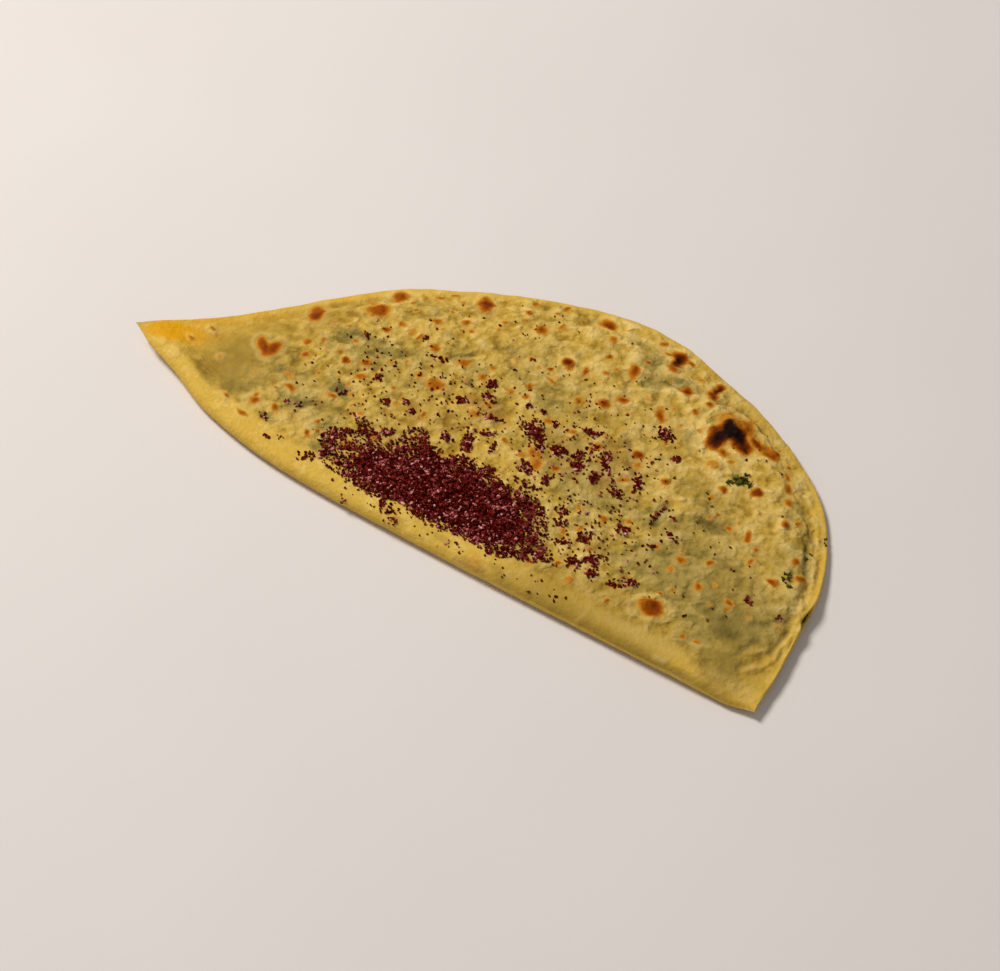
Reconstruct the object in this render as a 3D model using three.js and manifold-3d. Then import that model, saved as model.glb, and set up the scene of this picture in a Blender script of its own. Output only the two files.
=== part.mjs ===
// A qutab: a thin round of dough folded in half over chopped greens, sealed along
// its arc, baked on a griddle and sprinkled with a heap of sumac.
// Millimetres. +X runs along the fold, +Y towards the sealed arc, +Z up, and the
// bread rests on its flat underside at z = 0.

import * as THREE from 'three';
import { mergeVertices } from 'three/addons/utils/BufferGeometryUtils.js';
import Module from 'manifold-3d';

const wasm = await Module();
wasm.setup();

const { smoothstep, lerp } = THREE.MathUtils;
const TURN = 2 * Math.PI;
const QUARTER_TURN = Math.PI / 2;

// ---------------------------------------------------------------- driving sizes

// Plan of the half-moon, from its left tip to its right tip. The fold is a long
// shallow bow; the arc is the outer edge of the folded round.
const FOLD_EDGE = [
  [-118.8, -45.8], [-98, -50.2], [-76, -56.4], [-42, -58.8], [18, -54.4],
  [80, -48.2], [119.8, -44],
];
const ARC_EDGE = [
  [-119.2, -43.4], [-96.5, -18.6], [-71.2, 14.8], [-43.6, 35.8], [-14, 52.2], [20, 59.3],
  [56, 52.2], [84, 40.2], [101.6, 25], [112.6, 3.6], [117.4, -21], [120.4, -41.6],
];

const DOUGH_LAYER = 1.5;          // one rolled-out layer of dough
const FOLD_HEIGHT = 6.4;          // the rounded fold along the straight side
const FOLD_RADIUS = 3.1;
const FOLD_FADE = [4, 13];        // the fold dies away between these widths
const GREENS_DEPTH = 2.7;         // the greens between the two layers
const SEAM_HEIGHT = 2.6;          // the two layers pressed together at the arc
const SEAM_RADIUS = 1.25;
const SEAM_FADE = [5, 14];        // the bread fills out between these widths
const EDGE_SHARES = [0.3, 0.2];   // at a tip the radii are at most these shares of the width
const TIP_HEIGHT = 2.4;
const TIP_LENGTH = 26;            // both ends thin down over this length

const LEFT_TIP_LIFT = 5.6;        // the left tip curls up off the table
const LEFT_LIFT_START = -82;
const RIGHT_TIP_LIFT = 1.8;
const RIGHT_LIFT_START = 99;
const RIM_LIFT = 0.9;             // the thin rim waves a little off the table
const RIM_WAVES = 5;
const RIM_LIFT_WIDTH = 14;
const RESTING_DEPTH = 0.15;       // cut flat so that the middle lies on the table

const WAVE_HEIGHT = 0.45;         // soft unevenness of the top
const WAVE_LENGTHS = [47, 35];
const WAVE_TURN = 0.8;

// Where the greens lie between the layers: inset from each edge and each tip.
const GREENS_FOLD_INSET = 5.5;
const GREENS_ARC_INSET = 9.5;
const GREENS_FROM = 0.13;         // along the bread, as a share of its length
const GREENS_TO = 0.965;
const GREENS_LEFT_FADE = [-100, -70];
const GREENS_RIGHT_FADE = [104, 118];
const GREENS_LEAST_DEPTH = 0.5;
const PIECE_GAP = 0.3;            // between the dough and what it holds

// Blisters raised by the griddle: place, radius and height.
const BLISTERS = [
  { x: 59, y: 38, radius: 12, height: 1.5 },
  { x: 27, y: 52, radius: 6, height: 0.8 },
  { x: 43, y: 48, radius: 6, height: 0.8 },
  { x: -64, y: 13, radius: 7, height: 0.7 },
  { x: -82, y: -20, radius: 8, height: 0.8 },
  { x: -37, y: 32, radius: 7, height: 0.7 },
  { x: 20, y: 26, radius: 8, height: 0.7 },
  { x: 75, y: -30, radius: 8, height: 0.7 },
  { x: 90, y: 18, radius: 7, height: 0.6 },
];

// The seam has sprung open at one spot near the right end, where the greens show.
// Its place is a share of the arc's length, its heights are above the underside.
const SLIT = { along: 0.8955, width: 8, floor: 1, roof: 2.6 };
const SLIT_SWELL = 1.4;           // the rim is thicker over the greens there
const SLIT_SWELL_RADIUS = 10;
const SLIT_REACH = 15;            // from the rim back to the greens
const SLIT_NOTCH_REACH = 2.8;     // the upper lip is drawn back by this much
const SLIT_CUT_TOP = 12;          // clear above the bread
const GREENS_SETBACK = 1.3;       // greens stop this far inside the rim
const GREENS_TONGUE_WIDTH = 5.6;

// The heap of sumac on the front slope. Its uneven edge is given by places along the
// fold, measured from the heap's own rib, and their distances in from the fold.
const SUMAC = { along: 0.496, height: 2.6, edge: 0.6 };
const SUMAC_MIDDLE = [-4, 18];
const SUMAC_EDGE = [
  [38, 13.5], [35, 19.5], [30, 25], [23.5, 31.5], [18, 33.5], [11, 32], [4, 33],
  [-2, 33.5], [-8, 29.5], [-12, 31], [-17, 36], [-21.5, 33], [-21, 26], [-28, 24],
  [-35, 23], [-39.5, 18.5], [-37.5, 12], [-32, 7.8], [-23.5, 6.8], [-14, 5.6],
  [-6, 8], [2, 6.5], [10, 7], [18, 8], [25, 7], [32, 9],
];
const SUMAC_LUMPS = { height: 0.35, lengthX: 5.2, lengthY: 3.6 };

// The block below z = 0 that the underside is cut flat with.
const TABLE = { length: 300, width: 200, depth: 10 };

// How finely the pieces are faceted.
const DOUGH_STATIONS = 56;
const DOUGH_TOP_SPANS = 24;
const DOUGH_UNDER_SPANS = 8;
const FOLD_STEPS = 5;
const SEAM_STEPS = 3;
const GREENS_STATIONS = 28;
const GREENS_SPANS = 10;
const SUMAC_AROUND = 52;
const SUMAC_RINGS = 7;
const SLIT_AROUND = 16;

// ------------------------------------------------------------------ form of it

const foldEdge = new THREE.SplineCurve(FOLD_EDGE.map(([x, y]) => new THREE.Vector2(x, y)));
const arcEdge = new THREE.SplineCurve(ARC_EDGE.map(([x, y]) => new THREE.Vector2(x, y)));
const LEFT_TIP_X = FOLD_EDGE[0][0];
const RIGHT_TIP_X = FOLD_EDGE[FOLD_EDGE.length - 1][0];
const slitCentre = arcEdge.getPointAt(SLIT.along);
const slitTangent = arcEdge.getTangentAt(SLIT.along);
const sumacPoint = ([shift, fromFold]) => new THREE.Vector3(shift, fromFold, 0);
const sumacEdge = new THREE.CatmullRomCurve3(SUMAC_EDGE.map(sumacPoint), true);
const sumacMiddle = sumacPoint(SUMAC_MIDDLE);

// One rib of the bread: from the fold edge straight across to the arc edge.
function ribAt(along) {
  const from = foldEdge.getPointAt(along);
  const to = arcEdge.getPointAt(along);
  return { along, from, to, width: from.distanceTo(to) };
}

// A place on a rib, at a distance in from the fold edge.
function placeOn(rib, fromFold) {
  const share = fromFold / rib.width;
  return {
    x: lerp(rib.from.x, rib.to.x, share),
    y: lerp(rib.from.y, rib.to.y, share),
    share,
    fromFold,
    fromArc: rib.width - fromFold,
    along: rib.along,
  };
}

// How thin the bread gets towards its two tips: 0 at a tip, 1 in the body.
function bodyAt(x) {
  const toTip = Math.min(x - LEFT_TIP_X, RIGHT_TIP_X - x);
  return smoothstep(toTip, 0, TIP_LENGTH);
}

// How far the underside is off the table.
function liftAt(place) {
  const left = Math.max(0, (LEFT_LIFT_START - place.x) / (LEFT_LIFT_START - LEFT_TIP_X));
  const right = Math.max(0, (place.x - RIGHT_LIFT_START) / (RIGHT_TIP_X - RIGHT_LIFT_START));
  const wave = (1 - Math.cos(TURN * place.along * RIM_WAVES)) / 2;
  const rim = RIM_LIFT * wave * (1 - smoothstep(place.fromArc, 0, RIM_LIFT_WIDTH));
  return LEFT_TIP_LIFT * left ** 2 + RIGHT_TIP_LIFT * right ** 2 + rim;
}

// How full of greens the bread is: 0 where the two layers touch, 1 in the middle.
function fullnessAt(place) {
  const left = smoothstep(place.x, ...GREENS_LEFT_FADE);
  const right = 1 - smoothstep(place.x, ...GREENS_RIGHT_FADE);
  return left * right * smoothstep(place.fromArc, ...SEAM_FADE);
}

// The thickness of the whole bread.
function thicknessAt(place) {
  const body = bodyAt(place.x);
  const full = fullnessAt(place);
  const seam = lerp(TIP_HEIGHT, SEAM_HEIGHT, body);
  const fold = 1 - smoothstep(place.fromFold, ...FOLD_FADE);
  const flat = lerp(seam, 2 * DOUGH_LAYER + GREENS_DEPTH, full);
  let height = lerp(flat, lerp(TIP_HEIGHT, FOLD_HEIGHT, body), fold);
  const wave = Math.sin(TURN * place.x / WAVE_LENGTHS[0] + WAVE_TURN)
    * Math.sin(TURN * place.y / WAVE_LENGTHS[1]);
  height += WAVE_HEIGHT * wave * full * (1 - fold);
  for (const blister of BLISTERS) {
    const away = Math.hypot(place.x - blister.x, place.y - blister.y) / blister.radius;
    height += blister.height * (1 - smoothstep(away, 0, 1));
  }
  const fromSlit = Math.hypot(place.x - slitCentre.x, place.y - slitCentre.y);
  return height + SLIT_SWELL * (1 - smoothstep(fromSlit, 0, SLIT_SWELL_RADIUS));
}

// The height of the rounded edges' middle line above the underside.
function middleAt(place) {
  const body = bodyAt(place.x);
  return lerp(lerp(TIP_HEIGHT, FOLD_HEIGHT, body), SEAM_HEIGHT, place.share) / 2;
}

// A point of the skin: side runs from -1, the underside, to 1, the top.
function skinPoint(place, side) {
  const middle = middleAt(place);
  const above = thicknessAt(place) - middle;
  const z = liftAt(place) + middle + side * (side > 0 ? above : middle);
  return new THREE.Vector3(place.x, place.y, z - RESTING_DEPTH);
}

// -------------------------------------------------------------- making solids

// A closed body through a row of loops, each end closed by a fan.
function loft(loops) {
  const around = loops[0].length;
  const points = loops.flat();
  const index = [];
  for (let row = 0; row + 1 < loops.length; row += 1) {
    for (let step = 0; step < around; step += 1) {
      const next = (step + 1) % around;
      const [a, b] = [row * around + step, row * around + next];
      const [c, d] = [a + around, b + around];
      index.push(a, c, b, b, c, d);
    }
  }
  const closeEnd = (row, flip) => {
    const hub = points.length;
    const middle = loops[row].reduce((sum, point) => sum.add(point), new THREE.Vector3());
    points.push(middle.divideScalar(around));
    for (let step = 0; step < around; step += 1) {
      const [a, b] = [row * around + step, row * around + (step + 1) % around];
      index.push(hub, flip ? b : a, flip ? a : b);
    }
  };
  closeEnd(0, false);
  closeEnd(loops.length - 1, true);
  const geometry = new THREE.BufferGeometry().setFromPoints(points);
  geometry.setIndex(index);
  return geometry;
}

function toSolid(geometry) {
  const plain = geometry.clone();
  plain.deleteAttribute('normal');
  plain.deleteAttribute('uv');
  const merged = mergeVertices(plain);
  return new wasm.Manifold(new wasm.Mesh({
    numProp: 3,
    vertProperties: merged.getAttribute('position').array,
    triVerts: new Uint32Array(merged.index.array),
  }));
}

function toGeometry(solid) {
  const mesh = solid.getMesh();
  const geometry = new THREE.BufferGeometry();
  geometry.setAttribute('position', new THREE.BufferAttribute(mesh.vertProperties, 3));
  geometry.setIndex(new THREE.BufferAttribute(mesh.triVerts, 1));
  return geometry;
}

// ------------------------------------------------------------------- the bread

// The loop round one rib: over the top from fold to seam, and back underneath.
function ribLoop(rib) {
  const foldRadius = Math.min(FOLD_RADIUS, rib.width * EDGE_SHARES[0]);
  const seamRadius = Math.min(SEAM_RADIUS, rib.width * EDGE_SHARES[1]);
  const flat = rib.width - foldRadius - seamRadius;
  const loop = [];
  const add = (fromFold, side) => loop.push(skinPoint(placeOn(rib, fromFold), side));
  for (let step = -FOLD_STEPS; step < FOLD_STEPS; step += 1) {
    const angle = step / FOLD_STEPS * QUARTER_TURN;
    add(foldRadius * (1 - Math.cos(angle)), Math.sin(angle));
  }
  for (let span = 0; span < DOUGH_TOP_SPANS; span += 1) {
    add(foldRadius + flat * span / DOUGH_TOP_SPANS, 1);
  }
  for (let step = SEAM_STEPS; step > -SEAM_STEPS; step -= 1) {
    const angle = step / SEAM_STEPS * QUARTER_TURN;
    add(rib.width - seamRadius * (1 - Math.cos(angle)), Math.sin(angle));
  }
  for (let span = DOUGH_UNDER_SPANS; span > 0; span -= 1) {
    add(foldRadius + flat * span / DOUGH_UNDER_SPANS, -1);
  }
  return loop;
}

function breadSolid() {
  const loops = [];
  for (let station = 0; station <= DOUGH_STATIONS; station += 1) {
    loops.push(ribLoop(ribAt(station / DOUGH_STATIONS)));
  }
  const table = new THREE.BoxGeometry(TABLE.length, TABLE.width, TABLE.depth);
  table.translate(0, 0, -TABLE.depth / 2);
  return toSolid(loft(loops)).subtract(toSolid(table));
}

// The greens between the layers, or with grow above 0 the hollow they lie in.
function greensLayer(grow) {
  const loops = [];
  for (let station = 0; station <= GREENS_STATIONS; station += 1) {
    const along = lerp(GREENS_FROM, GREENS_TO, station / GREENS_STATIONS);
    const outwards = 2 * station / GREENS_STATIONS - 1;
    const rib = ribAt(along + grow * outwards / foldEdge.getLength());
    const from = GREENS_FOLD_INSET - grow;
    const to = rib.width - GREENS_ARC_INSET + grow;
    const over = [];
    const under = [];
    for (let span = 0; span <= GREENS_SPANS; span += 1) {
      const place = placeOn(rib, lerp(from, to, span / GREENS_SPANS));
      const floor = liftAt(place) + DOUGH_LAYER;
      const roof = liftAt(place) + thicknessAt(place) - DOUGH_LAYER;
      const top = Math.max(roof, floor + GREENS_LEAST_DEPTH);
      over.push(new THREE.Vector3(place.x, place.y, top + grow - RESTING_DEPTH));
      under.unshift(new THREE.Vector3(place.x, place.y, floor - grow - RESTING_DEPTH));
    }
    loops.push([...over, ...under]);
  }
  return toSolid(loft(loops));
}

// An upright oval plug at the slit, its middle on the rim or inset from it, its
// long side along the rim, its ends at heights above the bread's underside there.
function slitPlug({ reach, halfWidth, bottom, top, inset = 0 }) {
  const rib = ribAt(SLIT.along);
  const underside = liftAt(placeOn(rib, rib.width)) - RESTING_DEPTH;
  const plug = new THREE.CylinderGeometry(1, 1, top - bottom, SLIT_AROUND);
  plug.rotateX(QUARTER_TURN);
  plug.scale(reach, halfWidth, 1);
  plug.translate(-inset, 0, underside + (top + bottom) / 2);
  plug.rotateZ(Math.atan2(slitTangent.x, -slitTangent.y));
  plug.translate(slitCentre.x, slitCentre.y, 0);
  return toSolid(plug);
}

// The greens that reach out to the slit, or with grow above 0 their hollow.
function greensTongue(grow) {
  return slitPlug({
    reach: (SLIT_REACH - GREENS_SETBACK) / 2 + grow,
    inset: (SLIT_REACH + GREENS_SETBACK) / 2,
    halfWidth: GREENS_TONGUE_WIDTH / 2 + grow,
    bottom: SLIT.floor + PIECE_GAP - grow,
    top: SLIT.roof - PIECE_GAP + grow,
  });
}

function material(color, roughness) {
  return new THREE.MeshStandardMaterial({ color, roughness, metalness: 0 });
}

function namedMesh(name, solid, finish) {
  const mesh = new THREE.Mesh(toGeometry(solid), finish);
  mesh.name = name;
  return mesh;
}

// The heap: loops like its edge, one inside the other, each at its own height over
// the bread, with the bread's top, raised by the gap, cut away beneath them.
function sumacSolid(bread) {
  const foldLength = foldEdge.getLength();
  const loops = [];
  const addLoop = (out, heightOver) => {
    const loop = [];
    for (let step = 0; step < SUMAC_AROUND; step += 1) {
      const place = sumacEdge.getPointAt(step / SUMAC_AROUND).lerp(sumacMiddle, 1 - out);
      const rib = ribAt(SUMAC.along + place.x / foldLength);
      const point = skinPoint(placeOn(rib, place.y), 1);
      point.z = heightOver(point, out);
      loop.push(point);
    }
    loops.push(loop);
  };
  const heaped = (point, out) => {
    const lump = Math.sin(point.x / SUMAC_LUMPS.lengthX) * Math.sin(point.y / SUMAC_LUMPS.lengthY);
    const over = lerp(SUMAC.height + SUMAC_LUMPS.height * lump, SUMAC.edge, out ** 2);
    return point.z + PIECE_GAP + over;
  };
  for (let ring = 1; ring <= SUMAC_RINGS; ring += 1) {
    addLoop(ring / SUMAC_RINGS, heaped);
  }
  addLoop(1, () => PIECE_GAP);
  return toSolid(loft(loops)).subtract(bread.translate([0, 0, PIECE_GAP]));
}

// ------------------------------------------------------------------- assembly

const bread = breadSolid();
const slitWay = { halfWidth: SLIT.width / 2, bottom: SLIT.floor };
const hollow = greensLayer(PIECE_GAP)
  .add(greensTongue(PIECE_GAP))
  .add(slitPlug({ ...slitWay, reach: SLIT_REACH, top: SLIT.roof }))
  .add(slitPlug({ ...slitWay, reach: SLIT_NOTCH_REACH, top: SLIT_CUT_TOP }));
const greens = greensLayer(0).add(greensTongue(0));

const qutab = new THREE.Group();
qutab.add(
  namedMesh('dough', bread.subtract(hollow), material(0xc9a04e, 0.55)),
  namedMesh('greens_filling', greens, material(0x3c4a20, 0.6)),
  namedMesh('sumac_heap', sumacSolid(bread), material(0x4c1a1c, 0.8)),
);

// The origin is the middle of the underside's box.
const middle = new THREE.Box3().setFromObject(qutab).getCenter(new THREE.Vector3());
qutab.position.set(-middle.x, -middle.y, 0);

export default qutab;
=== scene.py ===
"""A qutab: a thin half-moon of griddled dough over chopped greens, with sumac on it.

Laid out as a Blender add-on. Run as a script it builds every piece and the stage.
Lengths in the tables are millimetres in the bread's own frame: +X along the fold,
+Y towards the sealed arc, +Z up, and the bread rests at z = 0.
"""

import math
import random

import bpy
import numpy as np
from mathutils import Matrix, Vector, noise
from mathutils.bvhtree import BVHTree


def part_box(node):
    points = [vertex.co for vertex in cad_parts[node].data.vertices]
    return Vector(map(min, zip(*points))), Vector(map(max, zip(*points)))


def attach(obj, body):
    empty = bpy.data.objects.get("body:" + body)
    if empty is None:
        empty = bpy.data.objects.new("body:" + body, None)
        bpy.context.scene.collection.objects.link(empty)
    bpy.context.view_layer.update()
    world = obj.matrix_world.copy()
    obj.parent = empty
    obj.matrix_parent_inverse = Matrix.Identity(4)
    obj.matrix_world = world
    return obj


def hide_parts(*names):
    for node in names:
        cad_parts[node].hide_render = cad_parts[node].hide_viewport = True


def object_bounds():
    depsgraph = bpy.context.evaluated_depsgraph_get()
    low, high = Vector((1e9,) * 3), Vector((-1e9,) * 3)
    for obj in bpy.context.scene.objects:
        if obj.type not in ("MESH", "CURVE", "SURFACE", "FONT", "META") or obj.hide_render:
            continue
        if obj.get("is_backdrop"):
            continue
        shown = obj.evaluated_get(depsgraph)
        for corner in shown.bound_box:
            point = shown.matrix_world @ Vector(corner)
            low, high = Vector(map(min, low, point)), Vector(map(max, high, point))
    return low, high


bl_info = {
    "name": "Qutab",
    "version": (1, 0, 0),
    "blender": (4, 5, 0),
    "location": "3D View > Sidebar > Qutab",
    "description": "Builds a folded flatbread with greens and a heap of sumac",
    "category": "Add Mesh",
}

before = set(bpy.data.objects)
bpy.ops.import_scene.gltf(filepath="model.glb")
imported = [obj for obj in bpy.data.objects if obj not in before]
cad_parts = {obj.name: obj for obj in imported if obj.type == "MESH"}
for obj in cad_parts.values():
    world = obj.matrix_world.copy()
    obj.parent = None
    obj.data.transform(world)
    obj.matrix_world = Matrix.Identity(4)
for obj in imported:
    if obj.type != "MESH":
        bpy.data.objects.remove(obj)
CAD_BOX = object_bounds()
DOUGH_LOW, DOUGH_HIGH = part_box("dough")

MM = 0.001
TURN = 2 * math.pi
SEED = 7
ROUNDING_STEP = 0.25

# ------------------------------------------------------------------ driving sizes

# Plan of the half-moon from its left tip to its right tip.
FOLD_EDGE = (
    (-118.8, -45.8), (-98, -50.2), (-76, -56.4), (-42, -58.8), (18, -54.4), (80, -48.2),
    (119.8, -44),
)
ARC_EDGE = (
    (-119.2, -43.4), (-96.5, -18.6), (-71.2, 14.8), (-43.6, 35.8), (-14, 52.2), (20, 59.3),
    (56, 52.2), (84, 40.2), (101.6, 25), (112.6, 3.6), (117.4, -21), (120.4, -41.6),
)

# The rounded fold, the thin sealed edge and the thin tips, with how far in from an
# edge each gives way to the filled middle.
FOLD_HEIGHT = 6.4
FOLD_RADIUS = 3.1
FOLD_FADE = (4, 13)
SEAM_HEIGHT = 2.6
SEAM_FADE_LEFT = (5, 14)
SEAM_FADE_RIGHT = (3, 13)
SEAM_FADE_CHANGE = (30, 70)
TIP_HEIGHT = 2.4
TIP_LENGTH = 26
TIP_ROUND = 8
TIP_BLUNT = 2.2
EDGE_SHARE = 0.3

# The filled middle, with its slow waves.
FILLED_HEIGHT = 5.7
WAVE_HEIGHT = 0.45
WAVE_LENGTHS = (47, 35)
WAVE_TURN = 0.8
GREENS_LEFT_FADE = (-100, -70)
GREENS_RIGHT_FADE = (104, 118)

# How the tips and the rim lift off the table.
LEFT_TIP_LIFT = 5.6
LEFT_LIFT_START = -82
RIGHT_TIP_LIFT = 1.8
RIGHT_LIFT_START = 99
RIM_LIFT = 0.9
RIM_WAVES = 5
RIM_LIFT_WIDTH = 14
RESTING_DEPTH = 0.15

# Inside the fold: its rounding, and the thin gap between the layers, which opens
# unevenly towards the arc.
INNER_FOLD_RADIUS = 1.7
INNER_FOLD_SHARE = 0.45
LEAST_GAP = 0.09
GAP_OPEN = (0.1, 0.35)
GAP_LENGTH = 240
GAP_UNEVEN_SIZE = 13
GAP_FADE = (0.5, 4.5)

# The edges of the layers: rounded lips, drawn back unevenly.
LIP_RADIUS = 0.62
LIP_SHARE = 0.2
LIP_SIDE = 0.6
EDGE_DRAWN_BACK = 0.35
EDGE_BROAD = (0.4, 11)
EDGE_FINE = (0.16, 3.2)

# The place where the seam has sprung open, as a share of the arc.
SLIT_ALONG = 0.8955
SLIT_SWELL = 1.4
SLIT_SWELL_RADIUS = 10
SLIT_NOTCH = 2.2
SLIT_HALF_WIDTH = 3.1
SLIT_OPENING = 1.5

# How the skin is meshed: rings along the bread, closer together at the tips, and
# steps round each ring.
EDGE_SAMPLES = 4001
TIP_SPACING = 0.32
TIP_RINGS = (3, 24)
RINGS = 388
OVER_STEPS = 150
LIP_STEPS = 5
INSIDE_STEPS = 22
INNER_FOLD_STEPS = 3
UNDER_STEPS = 30
FOLD_STEPS = 13
LOOP_STEPS = OVER_STEPS + 2 * LIP_STEPS + 2 * INSIDE_STEPS + INNER_FOLD_STEPS + UNDER_STEPS + FOLD_STEPS

# Griddle spots: x, y, length, width, turn in degrees, how dark.
GRIDDLE_SPOTS = (
    (0, 50, 7.4, 5.6, 5, 0.74), (7, 44.5, 4, 3.4, 0, 0.5), (19.5, 54.5, 4.4, 3.2, 0, 0.6),
    (27, 52.5, 7, 5.5, -20, 0.95), (28, 49.5, 3.4, 4, 0, 0.9), (28.2, 46.6, 5, 3.8, 0, 0.62),
    (23.2, 51.6, 3.8, 2.8, -20, 0.55), (30.8, 53.6, 4, 3, -10, 0.6), (44, 49.5, 3.6, 6, 0, 1.0),
    (44.4, 45.6, 3.6, 6, 10, 0.84), (46.5, 41, 3, 2.6, 0, 0.55), (37.2, 41.5, 5.6, 4.8, -10, 0.9),
    (19.6, 37.2, 6.6, 4.4, -60, 0.76), (13.5, 31.5, 2.8, 2.6, 0, 0.4),
    (0.6, 27.8, 5.6, 4.3, -35, 1.0), (7, 29, 2.2, 3.4, 0, 0.75), (24, 25.3, 5.2, 4, 10, 0.85),
    (20, 21, 5.6, 3.6, 0, 0.8), (36.5, 28, 7.8, 3.4, -48, 0.64), (44, 29, 2, 3, 0, 0.45),
    (45, 35.5, 3.2, 2.6, 0, 0.5), (60.6, 21.6, 6, 4.8, 0, 0.3), (53.5, 6.5, 4, 3.6, 0, 0.72),
    (40.5, 11, 4, 3.6, 0, 0.75), (42.5, 0, 5, 3.2, 30, 0.6), (77.5, 20.5, 4.2, 3.6, -30, 0.85),
    (68.5, 16, 3.6, 3, 30, 0.7), (91, 15, 3.2, 4.4, 10, 0.72), (82.5, 15, 2, 2, 0, 0.4),
    (85, 5.5, 5.6, 2.4, -58, 0.62), (89, 3.5, 3.2, 2.2, 0, 0.62), (101, 6.5, 3.2, 2.8, 0, 0.62),
    (99.5, -3.7, 3.6, 2.6, 0, 0.68), (74, -14, 4.8, 3.8, 10, 0.5),
    (76.4, -33.6, 10.4, 6.8, 20, 0.7), (94, -34.5, 4, 2.4, 10, 0.42), (94, -21, 2.8, 2, 0, 0.42),
    (84, 28, 5, 2.6, -45, 0.5), (87, 24, 4, 2.6, -60, 0.5), (81, 32, 3.6, 2.2, -50, 0.45),
    (93.5, 19, 4, 1.8, -60, 0.35), (73, 6.5, 1.8, 1.6, 0, 0.5), (-14.7, 34.4, 6.2, 4, -50, 0.68),
    (-23, 37.5, 3.8, 3.2, 0, 0.6), (-16, 44, 3.4, 2.6, 0, 0.5), (-36, 32, 9.6, 6.4, -52, 0.8),
    (-25.5, 25.5, 2.4, 2, 0, 0.4), (-36, 22, 3.6, 2.6, 0, 0.56), (-27.6, -5, 8.4, 5.4, 0, 0.5),
    (-26, -6.6, 4, 3, 0, 0.56), (-25.8, 7.6, 6.6, 4.6, 40, 0.5), (-17.5, 6.5, 4.4, 3.6, -30, 0.5),
    (-47, 8, 3, 6, 0, 0.36), (-54.3, 3.6, 3.8, 3.2, 0, 0.62), (-61, 18.4, 6.8, 7, 30, 0.68),
    (-62, 8.2, 9, 8, 30, 0.6), (-67, 11, 7, 3, 10, 0.3), (-78, -3.8, 12, 6.6, -52, 0.66),
    (-79.4, -1.4, 8, 3.6, -30, 0.3), (-81.6, -25.8, 10, 4.8, -36, 0.72),
    (-78.2, -24.6, 7.8, 4.8, 86, 0.72), (-63, -34, 5.4, 3.2, 10, 0.58),
    (-67.9, -45.8, 5, 4.6, 0, 0.7), (-69, -43.4, 2.4, 3.2, 0, 0.45),
    (-67.5, -12.5, 4.6, 2.2, -55, 0.5), (-71, -5, 2, 1.8, 0, 0.4), (-68.6, -4.6, 1.6, 1.8, 0, 0.4),
    (-99.8, -30, 2.8, 2.2, 0, 0.5), (-103.2, -36.8, 2.2, 1.6, 0, 0.36),
    (-90.4, -36.9, 2.2, 1.8, 0, 0.36), (-51.6, -29.2, 7, 5.4, 0, 0.2),
    (-49.2, -29.4, 2.2, 1.8, 0, 0.5), (-55.7, -14.8, 2.8, 2.4, 0, 0.7),
    (-59.9, -13.5, 4, 3.2, 0, 0.46), (-59, -6.4, 2.4, 2.2, 0, 0.56),
    (-50.6, -10.8, 3.6, 3.2, 0, 0.6), (-48.5, -16.8, 4, 3, 0, 0.5), (-17.1, 11.2, 3.4, 3, 0, 0.5),
    (-32.3, -15, 4.4, 4, 0, 0.18), (-13, 18.2, 7, 3, -20, 0.18), (-21.2, 33.9, 2.6, 2, 0, 0.45),
    (-64.8, -3, 2.2, 2, 0, 0.45), (-54.5, 23.5, 3.2, 2.8, 0, 0.45), (-43, 29, 3, 3.6, 0, 0.34),
    (14.5, -8, 7, 5, -30, 0.46), (17.6, -11.6, 7.4, 4.6, -60, 0.54), (12, -11, 4, 3.4, 0, 0.36),
    (-10, -7.6, 4.4, 3.6, 0, 0.46), (-8.4, -1.4, 4.4, 3, 0, 0.42), (46, -15.5, 4.4, 3.2, -20, 0.5),
    (43, -23, 3.6, 2.6, -30, 0.42), (-33, -41, 8, 5.6, 20, 0.42), (-28.4, -33.1, 4, 3, 0, 0.42),
    (-28.8, -28.8, 3.4, 2.6, 0, 0.38), (-77, -49, 2.8, 1.6, 0, 0.45),
    (-38, -28.5, 3.4, 2.6, 0, 0.42), (78, -24.5, 2.2, 2, 0, 0.38), (19, 6, 3.8, 3.2, 0, 0.46),
    (28, 5, 4.4, 6, 10, 0.5), (-1, 8, 3.2, 2.4, 0, 0.55), (1, 18.5, 6, 1.8, 0, 0.45),
    (-3, 12.5, 3.2, 2.6, 0, 0.6), (60, 36.4, 20, 13, -14, 0.2), (56, 32.4, 15, 6.8, 92, 0.95),
    (61.8, 34.4, 14, 6.6, -30, 0.95), (66.6, 37.3, 7, 4.6, -20, 0.8), (60.4, 39, 11, 7, -50, 0.48),
    (54.6, 39, 9, 9, 0, 0.3), (69.8, 36.4, 12, 6, -18, 0.44), (72.8, 35.6, 6, 4.4, 0, 0.62),
    (60, 28.2, 5, 4, 0, 0.62), (-75.7, -35.9, 1.8, 1.5, 0, 0.3), (-67.3, -30, 7, 3, 0, 0.3),
    (-67.6, -51.4, 5, 2.2, -10, 0.5), (-44, 15.9, 5, 3, 35, 0.56), (-39.6, 14.3, 2.6, 2, 0, 0.45),
    (-37.2, 6.3, 4, 3.6, 0, 0.52), (-33.5, -4.9, 3.4, 3, 0, 0.36), (-6.8, 7.3, 3, 2.6, 0, 0.35),
    (50, 29.4, 3, 2.4, 0, 0.4), (24.6, -50.4, 12, 4, 5, 0.14), (51, 31, 5, 4, 0, 0.16),
)

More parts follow.
